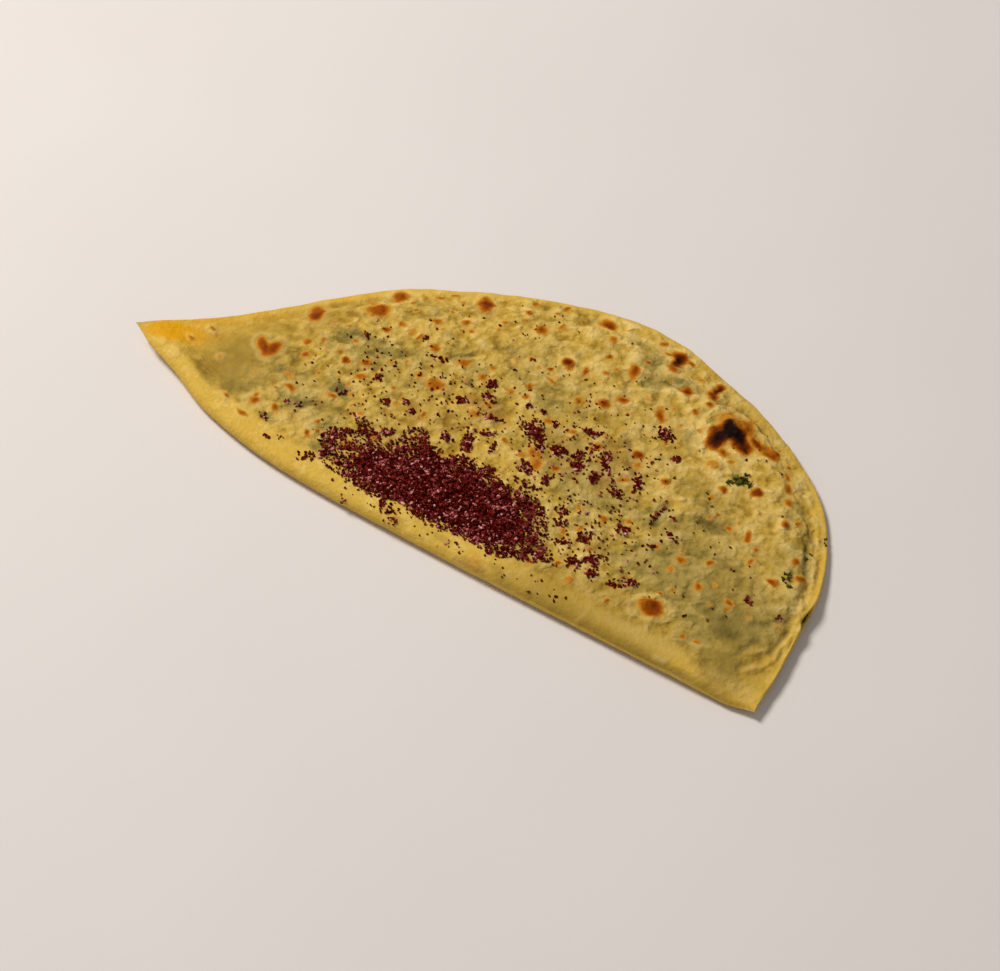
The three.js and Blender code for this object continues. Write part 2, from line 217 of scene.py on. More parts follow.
# The burnt blister: the same, for what is charred black.
CHAR_SPOTS = (
    (56.3, 31.2, 9.5, 4.4, 92, 0.84), (61.4, 34.6, 11, 4.6, -30, 0.88),
    (57.6, 35.2, 9.6, 6.6, -55, 1.0), (66.2, 31.9, 4, 3, -30, 0.62),
    (66.4, 37.4, 3.6, 2.4, -20, 0.5), (27.4, 51.4, 4, 4.8, 10, 0.74),
    (44.4, 48.2, 3.2, 5.6, 5, 0.68),
)

# Where the greens darken the dough most: x, y, length, width, turn, how much.
GREEN_PATCHES = (
    (84, -18, 52, 34, -8, 1.1), (98, -26, 26, 24, 0, 0.7), (66, -4, 24, 14, 25, 0.6),
    (104, -37, 20, 10, 8, 0.7), (93, -36, 20, 8, 6, 0.4), (64, -22, 22, 14, 10, 0.4),
    (-50.5, -24.5, 12, 7, -25, 0.95), (-56.5, -37, 9, 7, 0, 0.4), (-39, -47, 12, 7, 0, 0.6),
    (-85, -36, 30, 25, -30, 0.3), (-76, -42, 22, 14, -20, 0.2), (-58, -8, 34, 18, 10, 0.5),
    (-60, -30, 34, 26, 0, 0.25), (-46, -38, 18, 14, 0, 0.1), (31, -10, 12, 18, 20, 0.6),
    (-40, -12, 16, 8, 0, 0.35), (24, 47, 10, 6, 0, 0.5), (36, 46, 10, 4, -10, 0.4),
    (72, 4, 18, 4, 15, 0.6), (60, 10, 5, 16, 0, 0.45), (7, 10, 14, 10, 0, 0.4),
    (-24, 19, 12, 5, 0, 0.35), (97, 6, 12, 16, 0, 0.35), (5, 37, 8, 3, -20, 0.4),
    (24, 37, 6, 5, -30, 0.35), (75, 33, 6, 5, 0, 0.4), (105, -34, 14, 18, 0, 0.75),
    (-46, 20, 10, 8, 0, 0.3), (108, -17, 12, 24, 0, 0.45), (45, -12, 28, 24, 0, 0.4),
    (-55.6, -37.4, 6, 4, 20, 1.5), (-60.5, -47.8, 9, 4, 20, 1.3), (-48.4, -25.1, 9, 7.5, 20, 1.5),
    (99, -26, 13, 12, 0, 0.7), (90, -22, 10, 8, 0, 0.5), (57, -5, 17, 9, 60, 0.7),
    (34, 43.4, 12, 5, 3, 0.9), (28, 40, 9, 5, -40, 0.5),
)

# The same, for the smooth dough along the fold: partly greens showing through, partly painted shade low on
# the fold's right side.
FOLD_TINTS_AND_SHADE = (
    (62, -49, 96, 12, 5, 0.6), (108, -42, 24, 14, 0, 0.45), (-1.9, -53.5, 7, 4, 0, 0.55),
    (31.5, -49.4, 7, 4, 0, 0.5), (10, -51.5, 26, 4, 3, 0.25), (48, -45, 12, 6, 10, 0.3),
    (72, -42, 14, 5, 10, 0.3), (-20, -53, 10, 3, 0, 0.3), (-45, -55, 9, 3, 0, 0.25),
    (-89, -46, 9, 5, -40, 0.25), (33.5, -51, 8, 4, 0, 0.4), (12.9, -51.4, 9, 4, 0, 0.35),
    (-8, -52, 8, 4, 0, 0.3),
)

# Darker dough, partly duller dough and partly painted shade where the skin near the fold turns from the
# light: x, y, length, width, turn, how much.
DULL_AND_SHADE_PATCHES = (
    (66, -42, 76, 22, 6, 0.6), (106, -35, 28, 20, 0, 0.5), (84, -12, 60, 50, 0, 0.22),
    (58, 46, 60, 26, -30, 0.26), (28, 2, 60, 44, 0, 0.2), (-85, -35, 36, 24, -30, 0.6),
    (42, 26, 28, 16, -30, 0.4), (93, -13, 26, 18, -10, 0.5), (68, 9, 30, 16, -30, 0.4),
    (20, 18, 24, 18, 0, 0.36),
)

# Paler dough: the same.
PALE_PATCHES = (
    (-51, -42, 24, 12, 20, 0.55), (-52, -30, 9, 7, 0, 0.5), (-64, -38, 14, 8, 0, 0.3),
    (81, -43, 40, 6.5, 7, 0.5), (106, -41, 14, 5, 3, 0.35), (113, -40, 11, 8, 0, 0.5),
    (-10, 23, 26, 17, 0, 0.45),
)

# Creases in the skin, painted dark along their lines as painted shade, partly greens: x, y, length, turn in
# degrees, depth.
CREASES = (
    (68.2, 8.6, 10, -56, 0.5), (59, -3.5, 9, 100, 0.45), (75, 3, 12, 18, 0.35),
    (-27.8, 9.9, 7, 45, 0.5), (-8, 14, 14, -22, 0.3), (-22, 5, 10, -38, 0.3),
    (42, 5, 10, -38, 0.35), (36, 12, 9, -42, 0.3), (68, 26, 8, -65, 0.35),
    (102.5, 10, 12, -62, 0.5), (98, 19, 8, -40, 0.4), (30, 36, 10, -60, 0.25),
    (-66, -25, 7, -30, 0.15), (-55, -2, 9, 10, 0.25), (12, -2, 9, -35, 0.2), (50, 24, 9, -48, 0.25),
    (10, 42, 9, -20, 0.25), (-45, 0.5, 6, -12, 0.3), (-76, -47, 12, -50, 0.25),
    (109.6, -30.5, 9, 66, 0.35), (112.2, -20, 9, 88, 0.35), (106.4, -27, 9, 76, 0.2),
    (115.2, -20, 8, 90, 0.3), (103, -23, 8, 80, 0.15), (8, 26, 10, -50, 0.2),
    (22, 30, 8, -70, 0.25), (85, -7, 10, 5, 0.2), (47.4, 39.6, 9, 80, 0.3), (52, 46.2, 9, 20, 0.3),
    (60, 45.6, 10, -25, 0.3), (34, 41.2, 10, 9, 0.6), (24.6, 41, 8, -60, 0.35),
)

# Soft hollows in the skin, darkened by the greens and by painted shade: x, y, length, width, turn, depth.
HOLLOWS = (
    (22, 44, 9, 7, 0, 0.5), (36, 43.4, 14, 5, 3, 0.9), (26, 36, 9, 6, 0, 0.4),
    (12.6, 49.5, 13, 4, 0, 0.4), (8, 38, 7, 4, 0, 0.3), (52.3, 26.8, 8, 5, 0, 0.35),
    (57, -2, 10, 4, 62, 0.55), (75.5, 1.5, 10, 2.8, 12, 0.55), (64.5, 8.6, 6, 2.4, -37, 0.5),
    (67.4, 23.5, 7, 2.4, -50, 0.4), (91, 19, 14, 3, -71, 0.5), (98, -19, 8, 5, 0, 0.3),
    (99.5, -28, 10, 6, 0, 0.35), (87.5, -29.5, 10, 6, 0, 0.4), (-62.4, -5.2, 14, 8, 10, 0.4),
    (-49.3, -3.2, 9, 6, 0, 0.4), (-48.4, -25.1, 9, 7, 20, 0.5), (-44, -2, 9, 2, -20, 0.45),
    (-29, 9.8, 11, 3, 20, 0.16), (-18, 22, 10, 3.4, 0, 0.35), (-9.5, -17, 7, 3.4, 0, 0.3),
    (-6, 1, 8, 4, 0, 0.4), (34.5, 12, 8, 3.4, -30, 0.4), (48, 15, 9, 3, 50, 0.4),
    (83, -5, 12, 3.4, 15, 0.4), (70, -30, 10, 4, 10, 0.3), (101, 4, 9, 3, -70, 0.4),
    (-36, 14, 10, 4, 30, 0.3), (2, 33, 11, 3, -15, 0.3), (-70, -30, 12, 5, -30, 0.2),
    (16, 14, 8, 4, -40, 0.35),
)

# Sumac clusters off the heap: x, y, half length, half width, turn, grains.
SUMAC_CLUSTERS = (
    (9, -1, 4.5, 3.2, -35, 120), (13, -3.4, 3, 2.4, -20, 50), (20.5, -3, 3.6, 2.6, 10, 70),
    (28, -3.6, 3, 2.6, -40, 60), (26, 0, 1.6, 2, 0, 24), (34, 2.4, 4.4, 1.6, -48, 56),
    (42, 22.6, 3.4, 2.2, -40, 72), (51, 16.4, 1.1, 1.1, 0, 22), (-11, 1, 2.4, 1.6, 20, 36),
    (-16, -5, 3.4, 1.4, 25, 40), (-4, -5, 4, 0.9, 18, 34), (-4.6, -17, 1.8, 4.2, 25, 84),
    (-11, -19.6, 2, 1.4, 0, 34), (-1, -10.4, 3.2, 0.9, 20, 26), (3, -14, 1, 2.8, 20, 18),
    (-13, 6, 2.6, 1.6, 0, 40), (24, 9.2, 3.6, 1.2, 15, 40), (47, 1.6, 1.3, 2.6, 15, 34),
    (35, -5, 1.8, 2.4, 0, 34), (43, -4.6, 3, 1.4, -20, 42), (53.6, -15, 2.2, 2, 0, 46),
    (58.4, -4.6, 0.8, 3.4, 0, 20), (67, -9, 2.4, 0.9, -15, 18), (35, -20.4, 2, 1.2, 0, 24),
    (46, -25, 3, 2.2, 20, 44), (53, -30, 3.4, 2.4, 20, 60), (55.4, -34, 1.8, 1.4, 0, 32),
    (49, -34, 2.8, 1.8, 0, 44), (66.4, -29.6, 2.8, 1.2, 28, 36), (62.6, -33, 3.2, 0.8, 20, 26),
    (42, -38.4, 3.4, 1.3, 0, 20), (16, -14.6, 3.6, 2.2, -20, 46), (24, -15, 1.8, 3, 0, 40),
    (97.6, -14, 1.2, 1.1, 0, 16), (108, -13, 1, 1, 0, 8), (-43.6, -14, 1.4, 1.6, 0, 24),
    (-48.4, -25.4, 2.8, 2, 20, 16), (-55.4, -37.6, 1.8, 1.4, 0, 9), (-60, -39.6, 0.8, 1.8, 0, 5),
    (-60.6, -48.6, 1.6, 1, -15, 8), (-55.2, -54, 1.6, 1, 0, 7), (-52, -51, 1.4, 1.2, 0, 6),
    (-40, -52, 3, 2, 20, 24), (-8, -52.4, 4.4, 2, -20, 44), (-4, -55, 2, 0.9, 0, 12),
    (-20.6, -57, 1, 0.7, 0, 6), (-39, -41, 2, 3.4, 10, 40), (-32, -33, 4, 2, 15, 40),
    (-35, -31, 4, 2, 0, 24), (-12, -26, 4, 1.6, 20, 34), (-3, -24.6, 4, 1.6, 10, 30),
    (8, -22, 5, 1.6, 0, 30), (20, -19, 5, 1.6, 0, 30), (37, -24, 3, 2.4, 0, 26),
    (42, -30, 2, 3, 0, 20), (-27, -30, 3, 2, 20, 34), (-30, -40, 5, 3, 10, 40),
    (-33, 4, 3, 1, 20, 20), (-41.4, 7.6, 0.9, 1.6, 0, 10), (2, 5.4, 1.6, 0.9, 0, 12),
    (7, 6.6, 1.2, 0.8, 0, 12), (13, 5, 1.4, 1.4, 0, 14), (28.4, 4.6, 1.2, 1.4, 0, 14),
    (63, -2.8, 0.9, 0.8, 0, 6), (64, -15.4, 1.6, 0.7, 20, 10), (-57.6, -2, 1.6, 0.8, 0, 12),
    (-35, -20, 1.6, 1.2, 0, 20), (-30, -16, 1.4, 1.2, 0, 16), (-26, -18, 1.2, 1, 0, 14),
)

# Broad sprinkling of fine sumac: x, y, half length, half width, turn, specks.
SUMAC_DRIFTS = (
    (8, -6, 44, 18, 0, 190), (-30, -10, 26, 20, 20, 110), (34, 10, 26, 12, -20, 80),
    (46, -22, 22, 14, 0, 95), (-2, -36, 46, 15, 3, 190), (-52, -16, 14, 26, 0, 40),
    (70, -15, 30, 18, 0, 45), (20, 34, 60, 16, 0, 40), (-20, 20, 30, 12, 0, 30),
    (12, -50, 46, 4, 4, 80), (40, -10, 26, 22, -20, 75),
)

# The heap on the front slope. Its uneven edge is given by places along the fold,
# measured from the heap's own rib, and their distances in from the fold.
HEAP_ALONG = 0.496
HEAP_MIDDLE = (-4, 18)
HEAP_EDGE = (
    (38, 13.5), (35, 19.5), (30, 25), (23.5, 31.5), (18, 33.5), (11, 32), (4, 33), (-2, 33.5),
    (-8, 29.5), (-12, 31), (-17, 36), (-21.5, 33), (-21, 26), (-28, 24), (-35, 23), (-39.5, 18.5),
    (-37.5, 12), (-32, 7.8), (-23.5, 6.8), (-14, 5.6), (-6, 8), (2, 6.5), (10, 7), (18, 8), (25, 7),
    (32, 9),
)
HEAP_CORE_MIDDLE = (8, 18)
HEAP_CORE_SHARE = 0.76
HEAP_HEIGHT = 1.6
HEAP_SUNK = 0.4
HEAP_SEGMENTS = 240
HEAP_RINGS = 120

# The relief of the core: rounding towards its edge, lumps and grains; and its near-darkest tone, painted
# shade in the gaps between the crumbs.
HEAP_ROUND = 2.6
HEAP_LEVELS = (0.8, 0.35)
HEAP_LUMP_SIZE = 4.2
HEAP_GRAIN_SIZE = 1.15
HEAP_FINE_SIZE = 0.8
HEAP_FINE_SHARE = 0.6
HEAP_GRAIN_HEIGHT = 0.5
HEAP_GRAIN_EDGE = 4
HEAP_GRAIN_MIDDLE = 0.3
HEAP_RIM_SUNK = 0.15
HEAP_GAP_SHADE_TONE = 0.1

# The bare band along the fold and the bare rim along the arc: their widths, and
# where along the bread one width gives way to the next.
FOLD_BAND = 7.6
LEFT_BAND = 4.6
LEFT_BAND_FADE = (-88, -62)
RIGHT_BAND = 1.5
RIGHT_BAND_FADE = (92, 101)
RIM_BAND = 0.5
LEFT_RIM_MORE = 1.8
LEFT_RIM_FADE = (-45, -20)
RIGHT_RIM_MORE = 3
RIGHT_RIM_FADE = (78, 96)
LOW_RIM_LESS = 0.85
LOW_RIM_FADE = (14, 24)

# The bare tips: how their edges slant, and where they give way to the greens.
LEFT_TIP_SLANT = 0.35
LEFT_TIP_FADE = (-92, -76)
RIGHT_TIP_SLANT = 0.25
RIGHT_TIP_LEVEL = 41
RIGHT_TIP_FADE = (107.5, 113.5)
RIGHT_TIP_LOW = (22, 34)
FILLED_FROM_FOLD = (0, 3.5)
FILLED_FROM_ARC = (0, 4)
RIM_RAGGED = 1.4

# Where the skin is lumpy: smoother towards the edges and both ends.
LUMPY_FROM_FOLD = (-1, 4)
LUMPY_RIM_SHARE = 0.6
LUMPY_FROM_ARC = (0, 2.5)
SMOOTH_LEFT = 0.15
SMOOTH_LEFT_SLANT = 0.1
SMOOTH_LEFT_FADE = (-86, -56)
SMOOTH_RIGHT = 0.75
SMOOTH_RIGHT_SLANT = 0.2
SMOOTH_RIGHT_LEVEL = 20
SMOOTH_RIGHT_FADE = (84, 102)
SMOOTH_RIGHT_LOW = (8, 24)
LUMPY_UNDER = 0.5

# Soft noise, summed: how strong, how large its lumps are, and its layer.
GREENS_EDGE_NOISE = ((1.1, 8, 18), (0.5, 3, 19))
BARE_SKIN_NOISE = ((0.34, 15, 16), (0.14, 5, 17))
SPOT_NOISE = ((0.1, 2.1, 27), (0.24, 3.8, 28))
SHAPE_WANDER = 1.0
SHAPE_WANDER_SIZE = 3.5

# The skin's fine relief: the size of each kind of bump and its share.
SWELL_SIZE = 11
SWELL_SHARE = 0.6
AIR_SIZE = 5.2
AIR_SHARE = 0.58
SMALL_AIR_SIZE = 2.6
SMALL_AIR_SHARE = 0.22
GRAIN_SIZE = 1.6
GRAIN_SHARE = 0.12
STREAK_TURN = 35
WRINKLE_SIZE = 3.4
WRINKLE_STRETCH = 3.2
WRINKLE_THIN = 2
WRINKLE_POWER = 1.5
WRINKLE_SHARE = 0.36
WRINKLE_PATCHES = (0.55, 0.45)
WRINKLE_PATCH_SIZE = 14
CRUMPLE_SIZE = 8
CRUMPLE_STRETCH = 2.4
CRUMPLE_THIN = 2.2
CRUMPLE_SHARE = 0.6
CRUMPLE_SLANT = 0.5
CRUMPLE_FADE = (-20, 50)
BUMP_MIDDLE = 0.5
SMOOTH_SHARE = 0.2
RAISED_SMOOTH_SHARE = 0.7
RAISED_MOST = 1.2
PIT_SIZE = 7
SMALL_PIT_SIZE = 4
SMALL_PIT_SHARE = 0.4
PIT_DEPTH = 0.22

# Bubbles, hollows, creases and ridges: how their edges fade, how deep or high they
# are and how much paler or darker they are painted: painted highlight on raised places
# and painted shade in creases.
BUBBLE_EDGE = (0.45, 1.15)
BUBBLE_PALE_AND_HIGHLIGHT = 0.45
SMALL_BUBBLE_EDGE = (0.2, 1.2)
BUBBLES_FROM_FOLD = (6, 9)
BUBBLES_FROM_ARC = (1.5, 3)
BUBBLES_LUMPY = (0.2, 0.75)
HOLLOW_EDGE = (0, 1.3)
HOLLOW_UNEVEN = 0.2
CREASE_WIDTH = 0.85
CREASE_DEPTH = 1.25
CREASE_SHADE = 2.4
RIDGE_HIGHLIGHT = (0.35, 0.6)

# Browned spots: an uneven dark core, a lean to one side, a pale ring round it and a
# low blister under it.
SPOT_UNEVEN = 2.6
SPOT_LEAN = 0.3
SPOT_CORE = (0.15, 0.3)
SPOT_CORE_RADII = (2.4, 4.4)
SPOT_EDGE = 1.35
RING_START = (0.85, 1.2)
RING_END = 1.1
RING_WIDTHS = (0.6, 1.8)
RING_HIDES_BUBBLES = 3
SPOT_BLISTER_EDGE = (0.3, 1.8)
SPOT_RISE = 0.42
SPOT_SINK = 0.12
CHAR_EDGE = (0.2, 1.3)

# Browned spots on the underside, in patches.
UNDER_BROWN = 0.8
UNDER_PATCH_SIZE = 12
UNDER_PATCH = (2, 0.35)
UNDER_SPOT_SIZE = 7
UNDER_SPOT = (2, 0.75)
UNDER_FROM_FOLD = (6, 12)
UNDER_FROM_ARC = (3, 8)

# How the edges of each kind of patch fade, as shares of its reach.
PALE_EDGE = (0.3, 1.2)
GREEN_EDGE = (0.2, 1.15)
TINT_EDGE = (0.2, 1.1)
DULL_EDGE = (0.4, 1.2)
GOLDEN_EDGE = (0.35, 1.1)
STAIN_EDGE = (0.4, 1.1)

# How much of the greens shows: everywhere, in slow patches, less high on the bread,
# in hollows, low on the fold, underneath and on the inside. In hollows and low on the
# fold this is partly painted shade.
GREEN_SHOWS = 0.4
GREEN_SLOW = (0.34, 24)
GREEN_HIGH_LESS = 0.16
GREEN_HIGH_FADE = (14, 40)
GREEN_PATCH_SHARE = 0.7
HOLLOW_GREEN_AND_SHADE = 1.1
GREEN_MOST = 2
FOLD_SHADE_FADE = (0.3, 3.2)
FOLD_SHADE_FROM = (10, 60)
FOLD_SHADE_SHARE = 0.5
GREEN_UNDER = 0.4
GREEN_INSIDE = 0.5
INSIDE_SIDE = 0.05
OUTSIDE_FADE = (0, 0.5)

# Large blisters, as the solid dough has them: x, y, radius, height.
BLISTERS = (
    (59, 38, 12, 1.5), (27, 52, 6, 0.8), (43, 48, 6, 0.8), (-64, 13, 7, 0.7), (-82, -20, 8, 0.8),
    (-37, 32, 7, 0.7), (20, 26, 8, 0.7), (75, -30, 8, 0.7), (90, 18, 7, 0.6),
)

# Small round air bubbles: x, y, radius, height.
BUBBLES = (
    (-90.6, -36.8, 2.5, 0.4), (-99.8, -30, 2.4, 0.45), (-77, -12, 1.8, 0.3),
    (-94.6, -25.6, 2.2, 0.35), (-103.2, -36.6, 1.9, 0.35), (-93.2, -19.8, 2.4, 0.35),
    (-95.2, -42.2, 2, 0.3), (-75.8, -35.8, 1.7, 0.3), (-108, -45, 2.6, 0.35),
    (-101, -46.4, 2.8, 0.35), (-25.4, 7.6, 3.2, 0.5), (-85, -13, 1.7, 0.3), (-72, -18, 2, 0.3),
    (-66, -17, 1.6, 0.3), (-59, -10, 1.8, 0.35), (-64, -22, 2.2, 0.4), (-50, -29, 2.8, 0.5),
    (-45, 14, 2, 0.3), (-40, 6, 2, 0.3), (-20, 29, 2.4, 0.35), (-8, 32, 2, 0.3), (10, 24, 2, 0.35),
    (13, 31, 2, 0.35), (33, 22, 2.2, 0.35), (60.6, 21.6, 3.4, 0.5), (45, 35, 2, 0.35),
    (53.5, 6.5, 2.8, 0.45), (72, 14, 2.6, 0.35), (91, 14.5, 3.2, 0.45), (82, 11, 1.8, 0.3),
    (96, -12, 2, 0.35), (84, -16, 1.6, 0.35), (90, -22, 1.4, 0.35), (99, -27, 1.4, 0.35),
    (79, -20, 1.6, 0.35), (74, -14, 2.6, 0.4), (65, -21, 2.2, 0.35), (88, -29, 2.0, 0.3),
    (102, -19, 1.3, 0.35), (16, -3, 2.2, 0.35), (3, -6, 2.4, 0.35), (-26, -13, 2.2, 0.3),
    (-47, -6, 2, 0.3), (-38, 15, 2, 0.3), (-62, 2, 2, 0.3), (28, -12, 2, 0.35), (60, -12, 2, 0.35),
)

# Air bubbles scattered over the whole skin; the griddle has touched some of them.
BUBBLE_COUNT = 480
BUBBLE_AREA = (-100, 114, -50, 58)
BUBBLE_RADII = (0.9, 2.7, 1.4)
BUBBLE_ROOM = 0.85
BUBBLE_RISE = 0.2
BROWNED_SHARE = 0.5
BROWNED_TONES = (0.2, 0.85, 0.45)


def small_bubbles():
    """Each bubble's x, y, radius and how brown its top is."""
    chance = random.Random(SEED + 5)
    made = []
    while len(made) < BUBBLE_COUNT:
        x, y = chance.uniform(*BUBBLE_AREA[:2]), chance.uniform(*BUBBLE_AREA[2:])
        radius = chance.triangular(*BUBBLE_RADII)
        brown = chance.triangular(*BROWNED_TONES) if chance.random() < BROWNED_SHARE else 0
        room = [math.hypot(x - other[0], y - other[1]) / (radius + other[2]) for other in made]
        if min(room, default=1) > BUBBLE_ROOM:
            made.append((x, y, radius, brown))
    return made


SMALL_BUBBLES = small_bubbles()

# Raised folds of the skin, painted paler along their tops as painted highlight: x, y, length, turn in
# degrees, height, width.
RIDGES = (
    (49.2, 36.6, 7, 94, 0.9, 1.0), (50.8, 43, 4, 52, 1.0, 1.0), (56.6, 44, 7.5, -18, 1.0, 1.0),
    (64, 41.4, 6, -15, 0.9, 1.0), (70.4, 38.8, 7, -29, 0.75, 1.0), (37, 12, 10, 52, 0.4, 1.5),
    (42, 16, 8, 75, 0.3, 1.3), (54, 9, 10, 60, 0.3, 1.6), (101.5, 1.5, 14, -68, 0.5, 1.5),
    (107, -5, 12, -75, 0.45, 1.4), (-29, 10, 12, 45, 0.25, 1.5), (-14, 15, 14, -20, 0.25, 1.4),
    (68, 3, 10, 25, 0.3, 1.5), (-80, -12, 12, 30, 0.3, 2), (111.6, -32, 4.2, 62, 0.4, 0.8),
    (113.4, -28, 4.6, 70, 0.45, 0.8), (114.1, -22, 8, 90, 0.4, 0.8), (113.8, -15, 5, 86, 0.35, 0.9),
    (104, -29.4, 7, 76, 0.2, 1.3), (108.6, -24, 9, 84, 0.22, 1.2), (110.8, -5.8, 4, -56, 0.35, 0.5),
)

# Bare, golden dough: x, y, length, width, turn, how golden.
GOLDEN_PATCHES = (
    (-107, -38.8, 28, 13, 30, 0.9), (-97, -30.5, 22, 7, 45, 0.6), (-112, -43, 14, 7, 20, 0.7),
    (-88, -52, 46, 10, -12, 0.25), (-55, -57.5, 50, 9, -4, 0.3), (0, -57.5, 110, 7, 3, 0.08),
    (88, -44.5, 30, 10, 6, 0.08), (113, -42, 16, 9, 10, 0.32), (107, 6, 13, 34, 25, 0.35),
    (97, 24, 20, 10, -52, 0.3), (112.5, -24, 6, 20, 8, 0.2), (80, 40, 28, 8, -32, 0.25),
    (55, 52, 30, 7, -15, 0.25), (-92, -18, 40, 8, 52, 0.45), (-104, -28, 24, 10, 40, 0.6),
    (-74, 10, 34, 8, 52, 0.42), (-30, 44, 50, 8, 30, 0.15),
)

# Where the sumac has stained the skin: x, y, length, width, turn, how much.
SUMAC_STAINS = (
    (0, -36, 96, 34, 3, 0.85), (20, -4, 34, 22, -20, 0.7), (-20, -18, 34, 20, 20, 0.55),
    (45, -28, 26, 18, 0, 0.45), (-8, -4, 28, 16, 10, 0.75), (38, 6, 30, 22, -20, 0.65),
    (36, -4, 10, 8, 0, 0.95), (46, 2, 8, 8, 0, 0.9), (25, -53, 15, 6, 5, 0.9),
    (-6, -53, 12, 6, 0, 0.7),
)

# The greens between the layers.
GREENS_FOLD_INSET = 5.2
GREENS_ARC_INSET = 9.5
GREENS_SETBACK = 1.2
GREENS_FROM = 0.13
GREENS_TO = 0.965
GREENS_GAP = 0.12
GREENS_RINGS = 160
GREENS_STEPS = 36
GREENS_TONGUE = (0.8, 4)
GREENS_LEAST_HALF = 0.1
GREENS_SQUARENESS = 8
GREENS_LENGTH = 200
GREENS_ROUGH = (0.1, 1.6)
GREENS_TONE_SIZE = 5
GREENS_TONE_MOST = 0.8

# Leaf shreds through the skin: x, y, spread, count, length of a shred.
LEAF_TUFTS = (
    (71.4, 21, 1.5, 16, 3.9), (68.8, 18.9, 0.8, 3, 2.8), (72, 24.2, 0.7, 3, 2.4),
    (74.2, 21.8, 0.7, 3, 2.4), (102, -1, 1.8, 6, 2.8), (103.8, -2.8, 1.0, 4, 1.8),
    (102.4, 21.2, 0.5, 2, 1.5), (103.4, 19.4, 0.5, 2, 1.4), (102.6, 12.6, 0.4, 2, 1.6),
    (102.4, 10.2, 0.5, 2, 1.4), (89, 17.8, 0.4, 1, 1.4), (65.6, 12, 0.5, 2, 1.4),
    (67.4, 10.4, 0.4, 2, 1.4), (69.6, 8.2, 0.4, 2, 1.3),
)

# Leaves in the mouth of the sprung seam: x, y, z, length, turn, lean, tone.
SLIT_LEAVES = (
    (112.4, -5.2, 2.6, 3.8, -66, 15, 0.1), (112.8, -7.0, 2.4, 3.6, -72, 25, 0.0),
    (111.8, -3.6, 2.8, 3.0, -60, 10, 0.5), (112.5, -6.1, 2.2, 3.6, -72, -20, 0.1),
    (112.2, -6.6, 3.2, 3.6, -70, 5, 0.0),
)

# A shred of leaf: its outline, how it crumples, its size, lean and lie.
LEAF_KINDS = 5
LEAF_POINTS = 16
LEAF_THICKNESS = 0.09
LEAF_REACH = (0.4, 1.1)
LEAF_NOTCH = 0.62
LEAF_WIDTHS = (0.6, 0.1, 3)
LEAF_CRUMPLES = ((0.16, 7), (0.12, 9))
LEAF_SIZES = (0.6, 1.2)
LEAF_LEAN = 0.55
LEAF_LIFT = 0.13
LEAF_TONES = (0, 0.7)

# A crumb of sumac: its shape, its tone from dark to pale, and how it lies.
CRUMB_KINDS = 8
CRUMB_ROUGH = 0.17
CRUMB_SQUASH = ((1.15, 0.85, 0.7), (1.0, 0.9, 0.85), (1.3, 0.75, 0.6), (0.95, 1.05, 0.55))
CRUMB_TONE = 0.32
CRUMB_TONES = 0.27
CRUMB_PALEST = 0.85
CLUSTER_TONES = 0.17
# A few crumbs take the palest, glint tones: painted highlight, partly pale salt crystals.
GLINT_SHARE = 0.06
GLINT_TONES = (0.82, 1.0)
CRUMB_RAISED = 0.28
DROP_HEIGHT = 30

# Sizes of crumbs as shares of the usual size: least, most and commonest.
HEAP_CRUMB_SIZES = (0.45, 1.55, 0.75)
CLUSTER_SIZES = (0.5, 1.5, 0.85)
SPECK_SIZES = (0.4, 1.3, 0.75)
CLUSTER_SPREAD = 0.5

# The loose crumbs on the heap, thinner towards its ragged fringe.
HEAP_CRUMBS = 7600
HEAP_CRUMB_RAISED = (0.1, 0.6)
HEAP_FRINGE = 1.04
HEAP_RAGGED = (0.22, 3.2)
HEAP_THIN = 0.85
HEAP_THIN_FADE = (0.84, 1.1)
HEAP_GAP_EDGE = (0.5, 1.2)

# Where the heap lies thin: x, y, length, width, turn, share of the crumbs left out.
HEAP_GAPS = (
    (-29, -38, 20, 13, 30, 0.72), (-19, -26, 15, 17, 0, 0.4), (-8, -31, 12, 6, 30, 0.5),
    (24, -21, 16, 6, -20, 0.4), (-30, -46, 22, 16, 20, 0.25), (33, -25, 10, 12, 0, 0.4),
    (-33, -41, 11, 8, 20, 0.7),
)

# The fine patterns in the skin's looks: sizes in millimetres, then detail and roughness.
SKIN_WANDER = (3.4, 2.2)
SKIN_BUMPS = 3.9
SKIN_PIMPLES = 1.9
SKIN_FINE = (1.1, 3)
SKIN_MOTTLE = (5.0, 4, 0.6)
SKIN_BROAD = (15, 3, 0.55)
SKIN_LINES = (5.2, 30, 1.7, 0.08)
LINES_SHOW = (0.4, 0.6)
LINE_NOISE = (2.5, 0.55)
PIMPLE_SOFTNESS = 0.35
PIMPLE_STEEPNESS = 1.45

# How the patterns add up to a tone, which runs from hollows at 0 to bumps at 1. Hollows and wrinkle lines
# get the darker colours as painted shade, and bump tops the paler ones, partly as painted highlight.
TONE_BUMPS = 0.24
TONE_PIMPLES = 0.14
TONE_FINE = 0.42
TONE_MOTTLE = 0.6
TONE_LINES = 0.1
TONE_LIFT = 0.2
TONE_LUMPY = (0.3, 0.7)
TONE_SMOOTH = 0.1
TONE_RAISED = (0.36, 0.55)
YELLOW_TONES = ((0.1, "valley"), (0.38, "dough"), (0.85, "pale"))
OLIVE_TONES = ((0.08, "greens"), (0.42, "olive"), (0.92, "pale_olive"))

